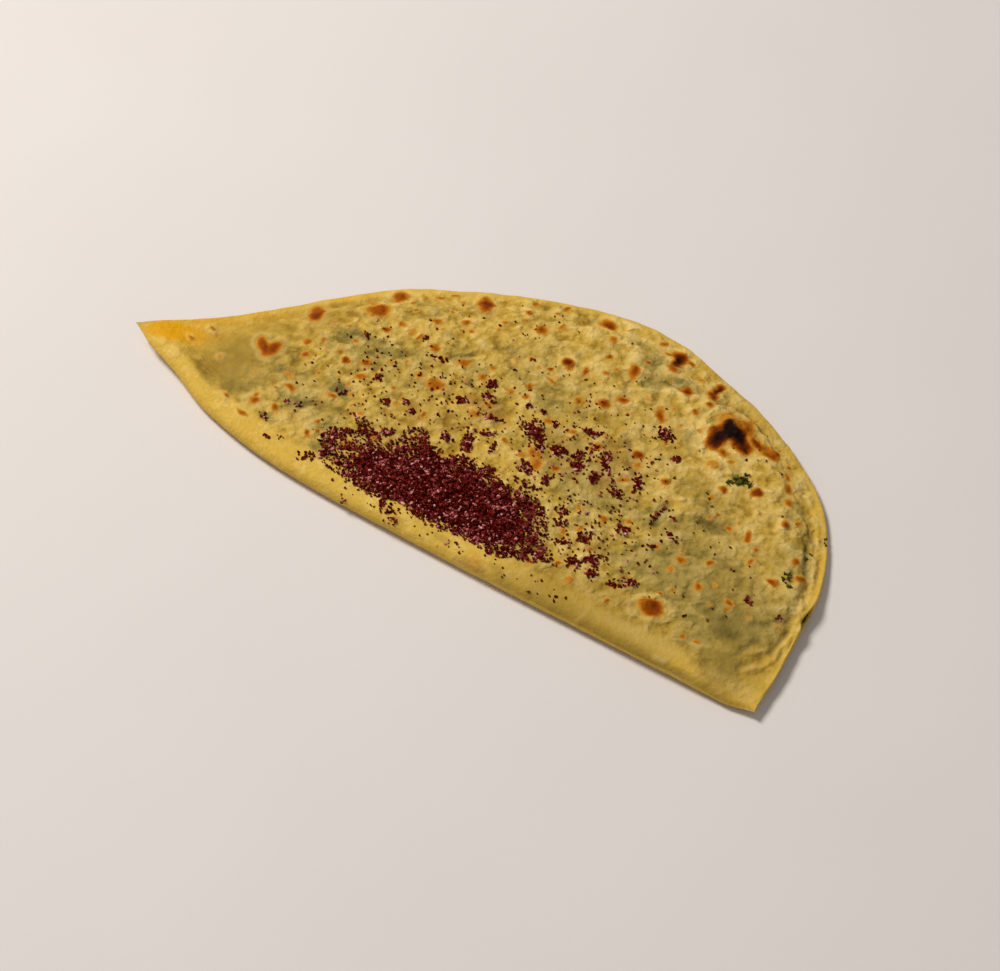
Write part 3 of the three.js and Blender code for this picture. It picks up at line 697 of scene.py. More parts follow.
# Where each colour lies over the one before: from nothing, to full, and how strongly.
BROAD_SHARE = 0.8
DEEP_LUMPY = (0.4, 0.6)
OLIVE_SHOWS = (0.12, 0.92)
GREENS_LAYERS = (("greens", 0.95, 1.5, 0.75), ("deep_greens", 1.4, 2.1, 0.8))
PALER_FINE = 0.6
PALER_FOLD = (0.48, 0.8, 0.65)
SHADED_PATCHY = 0.5
SHADED_FOLD = (0.05, 0.9, 0.8)
GOLDEN_MOTTLE = 0.6
GOLDEN_SHOWS = (0.1, 1.0)
RAISED_PALE_AND_HIGHLIGHT = (0.55, 1.1, 0.55)
CREASE_SHADE_SHARE = 0.6
HALO_SHARE = 0.45

# Browning, from the first gold to the darkest spots, then the burnt blister.
BROWNING = (
    (0.0, (0.68, 0.39, 0.08)),
    (0.2, (0.6, 0.28, 0.035)),
    (0.36, (0.5, 0.19, 0.014)),
    (0.5, (0.4, 0.12, 0.004)),
    (0.66, (0.31, 0.065, 0.0006)),
    (0.82, (0.19, 0.032, 0.0003)),
    (1.0, (0.11, 0.016, 0.0003)),
)
BROWN_STRENGTH = 1.05
BROWN_FINE = 0.26
BROWN_SHOWS = (0.02, 0.3)
BURNT = (0.010, 0.003, 0.003)
BURNT_FINE = 0.5
BURNT_SHOWS = (0.25, 0.85)
FINE_SHOWS = (0, 0.3)
STAIN = (0.27, 0.07, 0.012)
STAIN_FINE = 1.2
STAIN_MOTTLE = 0.8
STAIN_SHOWS = (0.25, 1.2, 0.44)

# Roughness, the finest relief and the shine of the dough.
ROUGHNESS = 0.56
ROUGH_FINE = 0.2
ROUGH_MOTTLE = 0.12
SMOOTHER_GOLDEN = 0.08
ROUGHER_BURNT = 0.2
RELIEF_BUMPS = 0.65
RELIEF_PIMPLES = 0.32
RELIEF_LINES = 0.12
RELIEF_LUMPY = (0.22, 0.78)
RELIEF_FINE = 0.3
RELIEF_DEPTH = 1.0
DOUGH_SHINE = {"Specular_IOR_Level": 0.07, "Specular_Tint": (1.0, 0.85, 0.5)}

# Looks of the greens, the sumac and the floor.
LEAF_PATCHES = (1.8, 3, 0.6)
LEAF_VEINS = (0.7, 2)
LEAF_SHOWS = (0.35, 0.68)
STALK_SHOWS = (0.8, 1.0)
LEAF_ROUGHNESS = (0.4, 0.25)
LEAF_RELIEF = (0.5, 0.3)
LEAF_SHINE = {"Specular_IOR_Level": 0.1}
SUMAC_SPECKLE = (0.6, 2)
SPECKLE_SHARE = 0.3
SUMAC_STOPS = ((0.0, "darkest"), (0.42, "sumac"), (0.75, "light_sumac"), (1.0, "glint"))
SUMAC_ROUGHNESS = (0.6, 0.2)
SUMAC_RELIEF = 0.15
SUMAC_SHINE = {"Specular_IOR_Level": 0.03}
FLOOR_PATCHES = (90, 2)
FLOOR_TONES = ((0.74, 0.69, 0.655), (0.78, 0.735, 0.7))
FLOOR_ROUGHNESS = (0.78, 0.06)
FLOOR_GRAIN = (1.2, 2)
FLOOR_RELIEF = 0.03

# The stage, in metres, watts and degrees; azimuth 0 looks along +Y.
CAMERA_AIM = (0.01128, -0.02105, 0)
CAMERA_DISTANCE = 0.6415
CAMERA_AZIMUTH = 38.32
CAMERA_ELEVATION = 52.2
CAMERA_ROLL = -0.47
CAMERA_LENS = 74.95
SENSOR_WIDTH = 36
FLOOR_SIZE = 6
KEY_LIGHT = (-86, 54, 1.5, 0.5, 18.9, (1.0, 0.965, 0.935))
FILL_LIGHT = (60, 50, 2.0, 1.6, 2.6, (0.98, 0.98, 1.0))
WORLD_COLOUR = (1.0, 0.97, 0.94, 1)
WORLD_STRENGTH = 0.24

# How noise is laid out: what moves one layer from the next, and how far a dome reaches.
LAYER_SHIFT = (17.3, 5.1, 9.7)
DOME_REACH = 0.75

# ------------------------------------------------------------------ small tools


def fade(value, low, high):
    """0 below low, 1 above high, and an even curve between them."""
    t = np.clip((np.asarray(value, float) - low) / (high - low), 0, 1)
    return t * t * (3 - 2 * t)


def between(first, second, share):
    return first + (second - first) * share


def spot_reach(x, y, spot):
    """How far out each place is in an oval spot: 0 at its middle, 1 at its edge."""
    turn = math.radians(spot[4])
    along = (x - spot[0]) * math.cos(turn) + (y - spot[1]) * math.sin(turn)
    across = (y - spot[1]) * math.cos(turn) - (x - spot[0]) * math.sin(turn)
    return np.hypot(along * 2 / spot[2], across * 2 / spot[3])


def line_reach(x, y, line):
    """How far each place is from a short straight line, in millimetres."""
    turn = math.radians(line[3])
    along = (x - line[0]) * math.cos(turn) + (y - line[1]) * math.sin(turn)
    across = (y - line[1]) * math.cos(turn) - (x - line[0]) * math.sin(turn)
    return np.hypot(np.maximum(np.abs(along) - line[2] / 2, 0), across)


def lumps(places, size, basis="PERLIN_ORIGINAL", layer=0.0):
    """Smooth noise from about -1 to 1 at each place, its lumps about size across."""
    shift = Vector(LAYER_SHIFT) * layer
    scaled = places / size + np.array(shift)
    return np.array([noise.noise(place, noise_basis=basis) for place in scaled])


def domes(places, size, layer=0.0):
    """Round domes side by side, 1 at their tops and 0 in the valleys between."""
    cells = (lumps(places, size, "VORONOI_F1", layer) + 1) / 2
    return np.clip(1 - (cells / DOME_REACH) ** 2, 0, 1)


def noise_sum(places, layers):
    """Several soft noises added up, each with its strength, size and layer."""
    return sum(strength * lumps(places, size, layer=layer) for strength, size, layer in layers)


def stretched(places, turn, ratio):
    """Places turned and squeezed, so that noise on them runs in long streaks."""
    cos, sin = math.cos(math.radians(turn)), math.sin(math.radians(turn))
    along = (places[:, 0] * cos + places[:, 1] * sin) / ratio
    across = places[:, 1] * cos - places[:, 0] * sin
    return np.stack([along, across, places[:, 2]], axis=1)


def edge_line(knots, closed=False):
    """A function from shares of an edge's length to places on a curve through knots."""
    knots = np.array(knots, float)
    spans = len(knots) if closed else len(knots) - 1
    t = np.linspace(0, spans, EDGE_SAMPLES)
    first = np.minimum(t.astype(int), spans - 1)
    t = (t - first)[:, None]
    around = [first + step for step in (-1, 0, 1, 2)]
    around = [step % spans if closed else np.clip(step, 0, spans) for step in around]
    before, start, end, after = (knots[step] for step in around)
    leave, arrive = (end - before) / 2, (after - start) / 2
    line = (2 * start - 2 * end + leave + arrive) * t**3
    line += (3 * end - 3 * start - 2 * leave - arrive) * t**2 + leave * t + start
    steps = np.linalg.norm(np.diff(line, axis=0), axis=1)
    reached = np.concatenate([[0], np.cumsum(steps)])
    shares = reached / reached[-1]

    def at(along):
        return np.stack([np.interp(along, shares, line[:, axis]) for axis in (0, 1)], axis=-1)

    at.length = reached[-1]
    at.low, at.high = line.min(axis=0), line.max(axis=0)
    return at


fold_line = edge_line(FOLD_EDGE)
arc_line = edge_line(ARC_EDGE)
heap_line = edge_line(HEAP_EDGE, closed=True)

# From the drawn plan to the bread's own frame, whose origin is the middle of its box.
PLAN_LOW = np.minimum(fold_line.low, arc_line.low)
PLAN_HIGH = np.maximum(fold_line.high, arc_line.high)
PLAN_SHIFT = (np.array(DOUGH_LOW + DOUGH_HIGH)[:2] / MM - PLAN_LOW - PLAN_HIGH) / 2
SLIT_MIDDLE = arc_line(SLIT_ALONG)


class Ribs:
    """Lines straight across the bread, from the fold to the sealed arc."""

    def __init__(self, along):
        self.along = np.asarray(along, float)
        self.start = fold_line(self.along)
        self.end = arc_line(self.along)
        self.width = np.linalg.norm(self.end - self.start, axis=-1)

    def places(self, from_fold):
        return Places(self, from_fold)


class Places:
    """Places on ribs, with the bread's height there. Drawn in the plan's frame."""

    def __init__(self, ribs, from_fold):
        self.from_fold = np.asarray(from_fold, float)
        self.share = self.from_fold / ribs.width
        spot = between(ribs.start, ribs.end, self.share[..., None])
        self.x, self.y = spot[..., 0], spot[..., 1]
        self.along = ribs.along
        self.from_arc = ribs.width - self.from_fold
        self.to_slit = np.hypot(self.x - SLIT_MIDDLE[0], self.y - SLIT_MIDDLE[1])
        tip = np.minimum(self.x - FOLD_EDGE[0][0], FOLD_EDGE[-1][0] - self.x)
        self.body = fade(tip, 0, TIP_LENGTH)
        self.bottom = self._lift() - RESTING_DEPTH
        self.thickness = self._thickness()
        self.top = self.bottom + self.thickness
        fold_height = between(TIP_HEIGHT, FOLD_HEIGHT, self.body)
        self.middle = between(fold_height, SEAM_HEIGHT, self.share) / 2

    def _lift(self):
        left = np.maximum(0, (LEFT_LIFT_START - self.x) / (LEFT_LIFT_START - FOLD_EDGE[0][0]))
        right = np.maximum(0, (self.x - RIGHT_LIFT_START) / (FOLD_EDGE[-1][0] - RIGHT_LIFT_START))
        wave = (1 - np.cos(TURN * self.along * RIM_WAVES)) / 2
        rim = RIM_LIFT * wave * (1 - fade(self.from_arc, 0, RIM_LIFT_WIDTH))
        return LEFT_TIP_LIFT * left**2 + RIGHT_TIP_LIFT * right**2 + rim

    def fullness(self):
        """How full of greens the bread is: 0 where its layers touch, 1 in the middle."""
        left = fade(self.x, *GREENS_LEFT_FADE)
        right = 1 - fade(self.x, *GREENS_RIGHT_FADE)
        change = fade(self.x, *SEAM_FADE_CHANGE)
        seam_left = fade(self.from_arc, *SEAM_FADE_LEFT)
        seam_right = fade(self.from_arc, *SEAM_FADE_RIGHT)
        return left * right * between(seam_left, seam_right, change)

    def _thickness(self):
        full = self.fullness()
        seam = between(TIP_HEIGHT, SEAM_HEIGHT, self.body)
        fold = 1 - fade(self.from_fold, *FOLD_FADE)
        height = between(seam, FILLED_HEIGHT, full)
        height = between(height, between(TIP_HEIGHT, FOLD_HEIGHT, self.body), fold)
        wave = np.sin(TURN * self.x / WAVE_LENGTHS[0] + WAVE_TURN)
        wave = wave * np.sin(TURN * self.y / WAVE_LENGTHS[1])
        height = height + WAVE_HEIGHT * wave * full * (1 - fold)
        for x, y, radius, rise in BLISTERS:
            away = np.hypot(self.x - x, self.y - y) / radius
            height = height + rise * (1 - fade(away, 0, 1))
        return height + SLIT_SWELL * (1 - fade(self.to_slit, 0, SLIT_SWELL_RADIUS))


def deselect():
    if bpy.context.object and bpy.context.object.mode != "OBJECT":
        bpy.ops.object.mode_set(mode="OBJECT")
    bpy.ops.object.select_all(action="DESELECT")


def pick(piece):
    """Leaves only this piece selected and active."""
    deselect()
    piece.select_set(True)
    bpy.context.view_layer.objects.active = piece


def mesh_places(piece):
    spots = np.empty(len(piece.data.vertices) * 3)
    piece.data.vertices.foreach_get("co", spots)
    return spots.reshape(-1, 3)


def set_places(piece, spots):
    piece.data.vertices.foreach_set("co", np.asarray(spots, float).ravel())
    piece.data.update()


def mesh_normals(piece):
    normals = np.empty(len(piece.data.vertices) * 3)
    piece.data.vertices.foreach_get("normal", normals)
    return normals.reshape(-1, 3)


def keep_field(piece, name, values):
    """Keeps a number at each vertex for the piece's material to read."""
    field = piece.data.attributes.new(name, "FLOAT", "POINT")
    field.data.foreach_set("value", np.asarray(values, np.float32).ravel())


def turn_faces_out(piece):
    pick(piece)
    bpy.ops.object.mode_set(mode="EDIT")
    bpy.ops.mesh.select_all(action="SELECT")
    bpy.ops.mesh.normals_make_consistent(inside=False)
    bpy.ops.object.mode_set(mode="OBJECT")


def place_piece(piece, material, slot, *nodes):
    """Gives a finished piece its material and its place in the frame."""
    piece.data.materials.clear()
    piece.data.materials.append(material)
    if nodes:
        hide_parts(*nodes)
    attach(piece, "root")


def round_grid(name, rings, segments):
    """A ball of rings and segments, with each vertex's ring and segment numbers.

    The vertices lie on whole steps, so a quarter of a step more and rounding down
    gives each its own segment whichever way its angle was rounded.
    """
    deselect()
    bpy.ops.mesh.primitive_uv_sphere_add(segments=segments, ring_count=rings, radius=1)
    piece = bpy.context.object
    piece.name = name
    piece.data.name = name
    spots = mesh_places(piece)
    ring = np.rint(np.arccos(np.clip(spots[:, 2], -1, 1)) * rings / math.pi).astype(int)
    turn = np.arctan2(spots[:, 1], spots[:, 0]) / TURN
    segment = np.floor(turn * segments + ROUNDING_STEP).astype(int) % segments
    return piece, ring, segment


# ------------------------------------------------------------------ shader maths


class Value:
    """A shader socket that sums work on: each sum adds a Math node."""

    def __init__(self, paint, socket):
        self.paint = paint
        self.socket = socket

    def _sum(self, operation, first, second):
        return self.paint.node("ShaderNodeMath", {"operation": operation}, {0: first, 1: second})

    def __add__(self, other):
        return self._sum("ADD", self, other)

    def __sub__(self, other):
        return self._sum("SUBTRACT", self, other)

    def __rsub__(self, other):
        return self._sum("SUBTRACT", other, self)

    def __mul__(self, other):
        return self._sum("MULTIPLY", self, other)

    def __abs__(self):
        return self.paint.node("ShaderNodeMath", {"operation": "ABSOLUTE"}, {0: self})

    __radd__ = __add__
    __rmul__ = __mul__


class Paint:
    """A material being mixed, node by node."""

    def __init__(self, name):
        self.material = bpy.data.materials.new(name)
        self.material.use_nodes = True
        self.tree = self.material.node_tree
        self.shader = self.tree.nodes["Principled BSDF"]
        self.place = self.node("ShaderNodeTexCoord", out="Object")

    def join(self, socket, value):
        if isinstance(value, Value):
            self.tree.links.new(value.socket, socket)
        elif isinstance(value, (tuple, list)) and len(value) == 3 and len(socket.default_value) == 4:
            socket.default_value = (*value, 1)
        else:
            socket.default_value = value

    def node(self, kind, settings=None, inputs=None, out=0):
        made = self.tree.nodes.new(kind)
        for name, value in (settings or {}).items():
            if name == "stops":
                self._set_stops(made.color_ramp.elements, value)
            else:
                setattr(made, name, value)
        for name, value in (inputs or {}).items():
            self.join(made.inputs[name], value)
        return Value(self, made.outputs[out])

    def _set_stops(self, elements, stops):
        while len(elements) < len(stops):
            elements.new(1)
        for element, (position, colour) in zip(elements, stops):
            element.position = position
            element.color = (*colour, 1)

    def field(self, name):
        return self.node("ShaderNodeAttribute", {"attribute_name": name}, out="Fac")

    def noise(self, size, detail=2.0, roughness=0.5, stretch=None):
        place = self.place
        if stretch:
            turn, ratio = stretch
            place = self.node(
                "ShaderNodeMapping",
                {"vector_type": "TEXTURE"},
                {"Vector": place, "Rotation": (0, 0, math.radians(turn)), "Scale": (ratio, 1, 1)},
            )
        inputs = {"Vector": place, "Scale": 1 / (size * MM), "Detail": detail, "Roughness": roughness}
        return self.node("ShaderNodeTexNoise", inputs=inputs)

    def wander(self, size, reach):
        """The object's places pushed about, so that a pattern laid on them wanders."""
        push = {"Vector": self.place, "Scale": 1 / (size * MM), "Detail": 2.0}
        push = self.node("ShaderNodeTexNoise", inputs=push, out="Color")
        push = self.node("ShaderNodeVectorMath", {"operation": "SUBTRACT"}, {0: push, 1: (0.5, 0.5, 0.5)})
        push = self.node("ShaderNodeVectorMath", {"operation": "SCALE"}, {0: push, "Scale": reach * MM})
        return self.node("ShaderNodeVectorMath", {"operation": "ADD"}, {0: self.place, 1: push})

    def pimples(self, size, place):
        """Small round bumps side by side: about 1 on their tops, 0 between them."""
        inputs = {"Vector": place, "Scale": 1 / (size * MM), "Smoothness": PIMPLE_SOFTNESS}
        cells = self.node("ShaderNodeTexVoronoi", {"feature": "SMOOTH_F1"}, inputs, "Distance")
        return 1 - cells * PIMPLE_STEEPNESS

    def wrinkles(self, size, turn, ratio, width):
        """1 along thin wandering lines, 0 between them."""
        return self.ease(abs(self.noise(size, *LINE_NOISE, (turn, ratio)) - 0.5), width, 0)

    def ease(self, value, low, high):
        """0 below low, 1 above high, and an even curve between them."""
        inputs = {"Value": value, "From Min": low, "From Max": high}
        return self.node("ShaderNodeMapRange", {"interpolation_type": "SMOOTHSTEP"}, inputs)

    def mix(self, first, second, share):
        """The second colour over the first, as much as share says."""
        settings = {"data_type": "RGBA", "clamp_factor": True}
        return self.node("ShaderNodeMix", settings, {0: share, 6: first, 7: second}, out=2)

    def ramp(self, value, stops):
        return self.node("ShaderNodeValToRGB", {"stops": stops}, {0: value})

    def finish(self, colour, roughness, height=None, depth=0.0, **fixed):
        """Joins the colour, the roughness and the fine relief to the shader."""
        self.join(self.shader.inputs["Base Color"], colour)
        self.join(self.shader.inputs["Roughness"], roughness)
        if height is not None:
            bump = {"Height": height, "Distance": depth * MM, "Strength": 1.0}
            self.join(self.shader.inputs["Normal"], self.node("ShaderNodeBump", inputs=bump))
        for name, value in fixed.items():
            self.join(self.shader.inputs[name.replace("_", " ")], value)
        return self.material


def tones(looks, stops):
    """The stops of a ramp, from places along it and the names of colours."""
    return [(place, tuple(getattr(looks, name))) for place, name in stops]


def skin_colours(paint, looks, tone, green, patchy):
    """Dough over the greens: yellow, then olive and dark where they lie closer and where painted shade is
    added in hollows and low on the fold.
    """
    deep = green + patchy * (paint.field("lumpy") * DEEP_LUMPY[1] + DEEP_LUMPY[0])
    yellow = paint.ramp(tone, tones(looks, YELLOW_TONES))
    olive = paint.ramp(tone, tones(looks, OLIVE_TONES))
    colour = paint.mix(yellow, olive, paint.ease(deep, *OLIVE_SHOWS))
    for name, low, high, share in GREENS_LAYERS:
        shows = paint.ease(deep, low, high) * share
        colour = paint.mix(colour, tuple(getattr(looks, name)), shows)
    return colour


def dough_material(looks):
    """Griddled dough: bumps painted pale, partly as painted highlight; hollows olive and creases dark,
    partly as painted shade; golden edges and brown spots.
    """
    paint = Paint("griddled_dough")
    pale = tuple(looks.pale)
    pushed = paint.wander(*SKIN_WANDER)
    bumps, pimples = paint.pimples(SKIN_BUMPS, pushed), paint.pimples(SKIN_PIMPLES, pushed)
    fine, mottle = paint.noise(*SKIN_FINE), paint.noise(*SKIN_MOTTLE)
    fine_swing, mottle_swing = fine - 0.5, mottle - 0.5
    patchy = mottle_swing + (paint.noise(*SKIN_BROAD) - 0.5) * BROAD_SHARE
    lines = paint.wrinkles(*SKIN_LINES) * paint.ease(mottle, *LINES_SHOW)
    lumpy, raised = paint.field("lumpy"), paint.field("raised")
    green, golden = paint.field("green"), paint.field("golden")

    # Tone: darker in hollows and along wrinkle lines as painted shade, paler on bumps and raised places,
    # partly as painted highlight.
    tone = bumps * TONE_BUMPS + pimples * TONE_PIMPLES
    tone = tone + fine_swing * TONE_FINE + mottle_swing * TONE_MOTTLE
    tone = (tone - lines * TONE_LINES + TONE_LIFT) * (lumpy * TONE_LUMPY[1] + TONE_LUMPY[0])
    tone = tone + (lumpy * -TONE_SMOOTH + TONE_SMOOTH)
    tone = tone + (raised - TONE_RAISED[0]) * TONE_RAISED[1]
    skin = skin_colours(paint, looks, tone, green, patchy)

    low, high, share = PALER_FOLD
    paler = paint.ease(mottle + fine_swing * PALER_FINE, low, high) * share
    colour = paint.mix(tuple(looks.fold), pale, paler)
    low, high, share = SHADED_FOLD
    shaded = paint.ease(green + patchy * SHADED_PATCHY, low, high) * share
    colour = paint.mix(colour, tuple(looks.shaded), shaded)
    gold = paint.ease(golden + mottle_swing * GOLDEN_MOTTLE, *GOLDEN_SHOWS)
    colour = paint.mix(colour, tuple(looks.golden), gold)
    # Raised places painted paler: partly painted highlight.
    low, high, share = RAISED_PALE_AND_HIGHLIGHT
    colour = paint.mix(colour, pale, paint.ease(raised, low, high) * share)
    colour = paint.mix(colour, skin, paint.field("filled"))
    # Darker, duller patches: partly painted shade where the skin near the fold turns from the light.
    colour = paint.mix(colour, tuple(looks.shaded), paint.field("dull"))
    # Creases painted dark: painted shade, partly greens.
    colour = paint.mix(colour, tuple(looks.deep_greens), paint.field("crease") * CREASE_SHADE_SHARE)
    colour = paint.mix(colour, pale, paint.field("halo") * HALO_SHARE)

    scorch, burnt = paint.field("scorch"), paint.field("char")
    grain = fine_swing * BROWN_FINE * paint.ease(scorch, *FINE_SHOWS)
    scorch = scorch * BROWN_STRENGTH + grain
    colour = paint.mix(colour, paint.ramp(scorch, BROWNING), paint.ease(scorch, *BROWN_SHOWS))
    grain = fine_swing * BURNT_FINE * paint.ease(burnt, *FINE_SHOWS)
    burnt = paint.ease(burnt + grain, *BURNT_SHOWS)
    colour = paint.mix(colour, BURNT, burnt)
    low, high, share = STAIN_SHOWS
    stain = paint.field("stain") + fine_swing * STAIN_FINE + mottle_swing * STAIN_MOTTLE
    colour = paint.mix(colour, STAIN, paint.ease(stain, low, high) * share)

    rough = fine_swing * ROUGH_FINE + ROUGHNESS + mottle_swing * ROUGH_MOTTLE
    rough = rough - golden * SMOOTHER_GOLDEN + burnt * ROUGHER_BURNT
    relief = bumps * RELIEF_BUMPS + pimples * RELIEF_PIMPLES - lines * RELIEF_LINES
    relief = relief * (lumpy * RELIEF_LUMPY[1] + RELIEF_LUMPY[0]) + fine * RELIEF_FINE
    return paint.finish(colour, rough, relief, RELIEF_DEPTH, **DOUGH_SHINE)


def greens_material(looks):
    """Chopped cooked greens, dark and damp."""
    paint = Paint("cooked_greens")
    patch, vein = paint.noise(*LEAF_PATCHES), paint.noise(*LEAF_VEINS)
    lighter = paint.ease(patch, *LEAF_SHOWS)
    colour = paint.mix(tuple(looks.leaf_dark), tuple(looks.leaf), lighter)
    stalks = paint.ease(paint.field("tone"), *STALK_SHOWS)
    colour = paint.mix(colour, tuple(looks.stalk), stalks)
    rough = patch * LEAF_ROUGHNESS[1] + LEAF_ROUGHNESS[0]
    share, depth = LEAF_RELIEF
    return paint.finish(colour, rough, patch + vein * share, depth, **LEAF_SHINE)


def sumac_material(looks):
    """Crumbs of ground sumac, from near black to rose, tone by tone, with a few painted glints."""
    paint = Paint("ground_sumac")
    speckle = paint.noise(*SUMAC_SPECKLE)
    tone = paint.field("tone") + (speckle - 0.5) * SPECKLE_SHARE
    colour = paint.ramp(tone, tones(looks, SUMAC_STOPS))
    rough = SUMAC_ROUGHNESS[0] - tone * SUMAC_ROUGHNESS[1]
    return paint.finish(colour, rough, speckle, SUMAC_RELIEF, **SUMAC_SHINE)


def floor_material():
    """Plain pale matt board."""
    paint = Paint("pale_board")
    soft = paint.noise(*FLOOR_PATCHES)
    rough = soft * FLOOR_ROUGHNESS[1] + FLOOR_ROUGHNESS[0]
    colour = paint.mix(*FLOOR_TONES, soft)
    return paint.finish(colour, rough, paint.noise(*FLOOR_GRAIN), FLOOR_RELIEF)


# ------------------------------------------------------------------ the dough


def ring_shares():
    """Shares of the bread's length for the skin's rings, closer together at the tips."""
    steps = np.arange(RINGS) + 0.5
    from_end = np.minimum(steps, RINGS - steps)
    spacing = between(TIP_SPACING, 1.0, fade(from_end, *TIP_RINGS))
    shares = np.concatenate([[0], np.cumsum(spacing)])
    return shares / shares[-1]


def ragged_edge(along, layer):
    """How far the edge of a layer is drawn back, unevenly, in millimetres."""
    spots = np.stack([along * fold_line.length, 0 * along, 0 * along], axis=1)
    drawn_back = EDGE_DRAWN_BACK
    for depth, size in (EDGE_BROAD, EDGE_FINE):
        drawn_back = drawn_back + depth * lumps(spots, size, layer=layer)
        layer += 1
    return np.clip(drawn_back, 0, 1)


def skin_sections(ribs, layer):
    """The closed line round the folded dough at each rib, as a grid of places.

    Returns x, y, z and which side of the dough each place is on: 1 on top, -1
    underneath, 0 inside the fold.
    """
    width = ribs.width[:, None]
    ribs = Ribs(ribs.along[:, None])
    along = ribs.along[:, 0]
    to_slit = (along - SLIT_ALONG)[:, None] * arc_line.length
    drawn_back = SLIT_NOTCH * np.exp(-((to_slit / SLIT_HALF_WIDTH) ** 2))
    upper = width - ragged_edge(along, 3)[:, None] - drawn_back
    lower = width - ragged_edge(along, 8)[:, None]
    uneven = lumps(np.stack([along * GAP_LENGTH, along, along], axis=1), GAP_UNEVEN_SIZE)
    openness = GAP_OPEN[0] + GAP_OPEN[1] * np.clip(uneven, 0, 1)

    def wall(spots):
        gap = LEAST_GAP + openness[:, None] * (1 - fade(spots.from_arc, *GAP_FADE))
        gap = gap + SLIT_OPENING * np.exp(-((spots.to_slit / SLIT_HALF_WIDTH) ** 2))
        return np.minimum(layer, (spots.thickness - gap) / 2)

    fold_radius = np.minimum(FOLD_RADIUS, EDGE_SHARE * width)
    lip = np.minimum(LIP_RADIUS, LIP_SHARE * width)
    inner_start = np.minimum(layer + INNER_FOLD_RADIUS, INNER_FOLD_SHARE * width)
    inner_radius = np.minimum(INNER_FOLD_RADIUS, inner_start / 2)
    stretches = []

    def add(from_fold, height, side):
        spots = ribs.places(from_fold)
        stretches.append((spots.x, spots.y, height(spots), np.broadcast_to(side, spots.x.shape)))

    def steps(count):
        return (np.arange(count) / count)[None, :]

    def half_turn(count):
        return math.pi / 2 - math.pi * steps(count)

    add(
        between(fold_radius, upper - lip, steps(OVER_STEPS)),
        lambda spots: spots.top,
        1.0,
    )
    brim = ribs.places(upper - lip)
    turn = half_turn(LIP_STEPS)
    add(
        upper - lip + lip * np.cos(turn),
        lambda spots: brim.top - wall(brim) * (1 - np.sin(turn)) / 2,
        np.clip(np.sin(turn) + LIP_SIDE, 0, 1),
    )
    add(
        between(upper - lip, inner_start, steps(INSIDE_STEPS)),
        lambda spots: spots.top - wall(spots),
        0.0,
    )
    inmost = ribs.places(inner_start)
    roof, floor = inmost.top - wall(inmost), inmost.bottom + wall(inmost)
    turn = half_turn(INNER_FOLD_STEPS)
    add(
        inner_start - inner_radius * np.cos(turn),
        lambda spots: (roof + floor) / 2 + (roof - floor) / 2 * np.sin(turn),
        0.0,
    )
    add(
        between(inner_start, lower - lip, steps(INSIDE_STEPS)),
        lambda spots: spots.bottom + wall(spots),
        0.0,
    )
    brim_under = ribs.places(lower - lip)
    turn_under = half_turn(LIP_STEPS)
    add(
        lower - lip + lip * np.cos(turn_under),
        lambda spots: brim_under.bottom + wall(brim_under) * (1 + np.sin(turn_under)) / 2,
        -np.clip(LIP_SIDE - np.sin(turn_under), 0, 1),
    )
    add(
        between(lower - lip, fold_radius, steps(UNDER_STEPS)),
        lambda spots: spots.bottom,
        -1.0,
    )
    rising = -half_turn(FOLD_STEPS)

    def round_fold(spots):
        above = spots.thickness - spots.middle
        reach = np.where(np.sin(rising) > 0, above, spots.middle)
        return spots.bottom + spots.middle + np.sin(rising) * reach

    add(fold_radius * (1 - np.cos(rising)), round_fold, np.sin(rising))
    return [np.concatenate(part, axis=1) for part in zip(*stretches)]


def round_the_tips(grid, along, length):
    """Draws the rings in to a point over the last stretch of each tip."""
    from_tip = np.minimum(along, 1 - along) * length
    size = from_tip * (TIP_BLUNT + TIP_ROUND) / (TIP_ROUND * (TIP_BLUNT + from_tip))
    size = np.minimum(size, 1)[:, None, None]
    middle = grid.mean(axis=1, keepdims=True)
    return middle + (grid - middle) * size


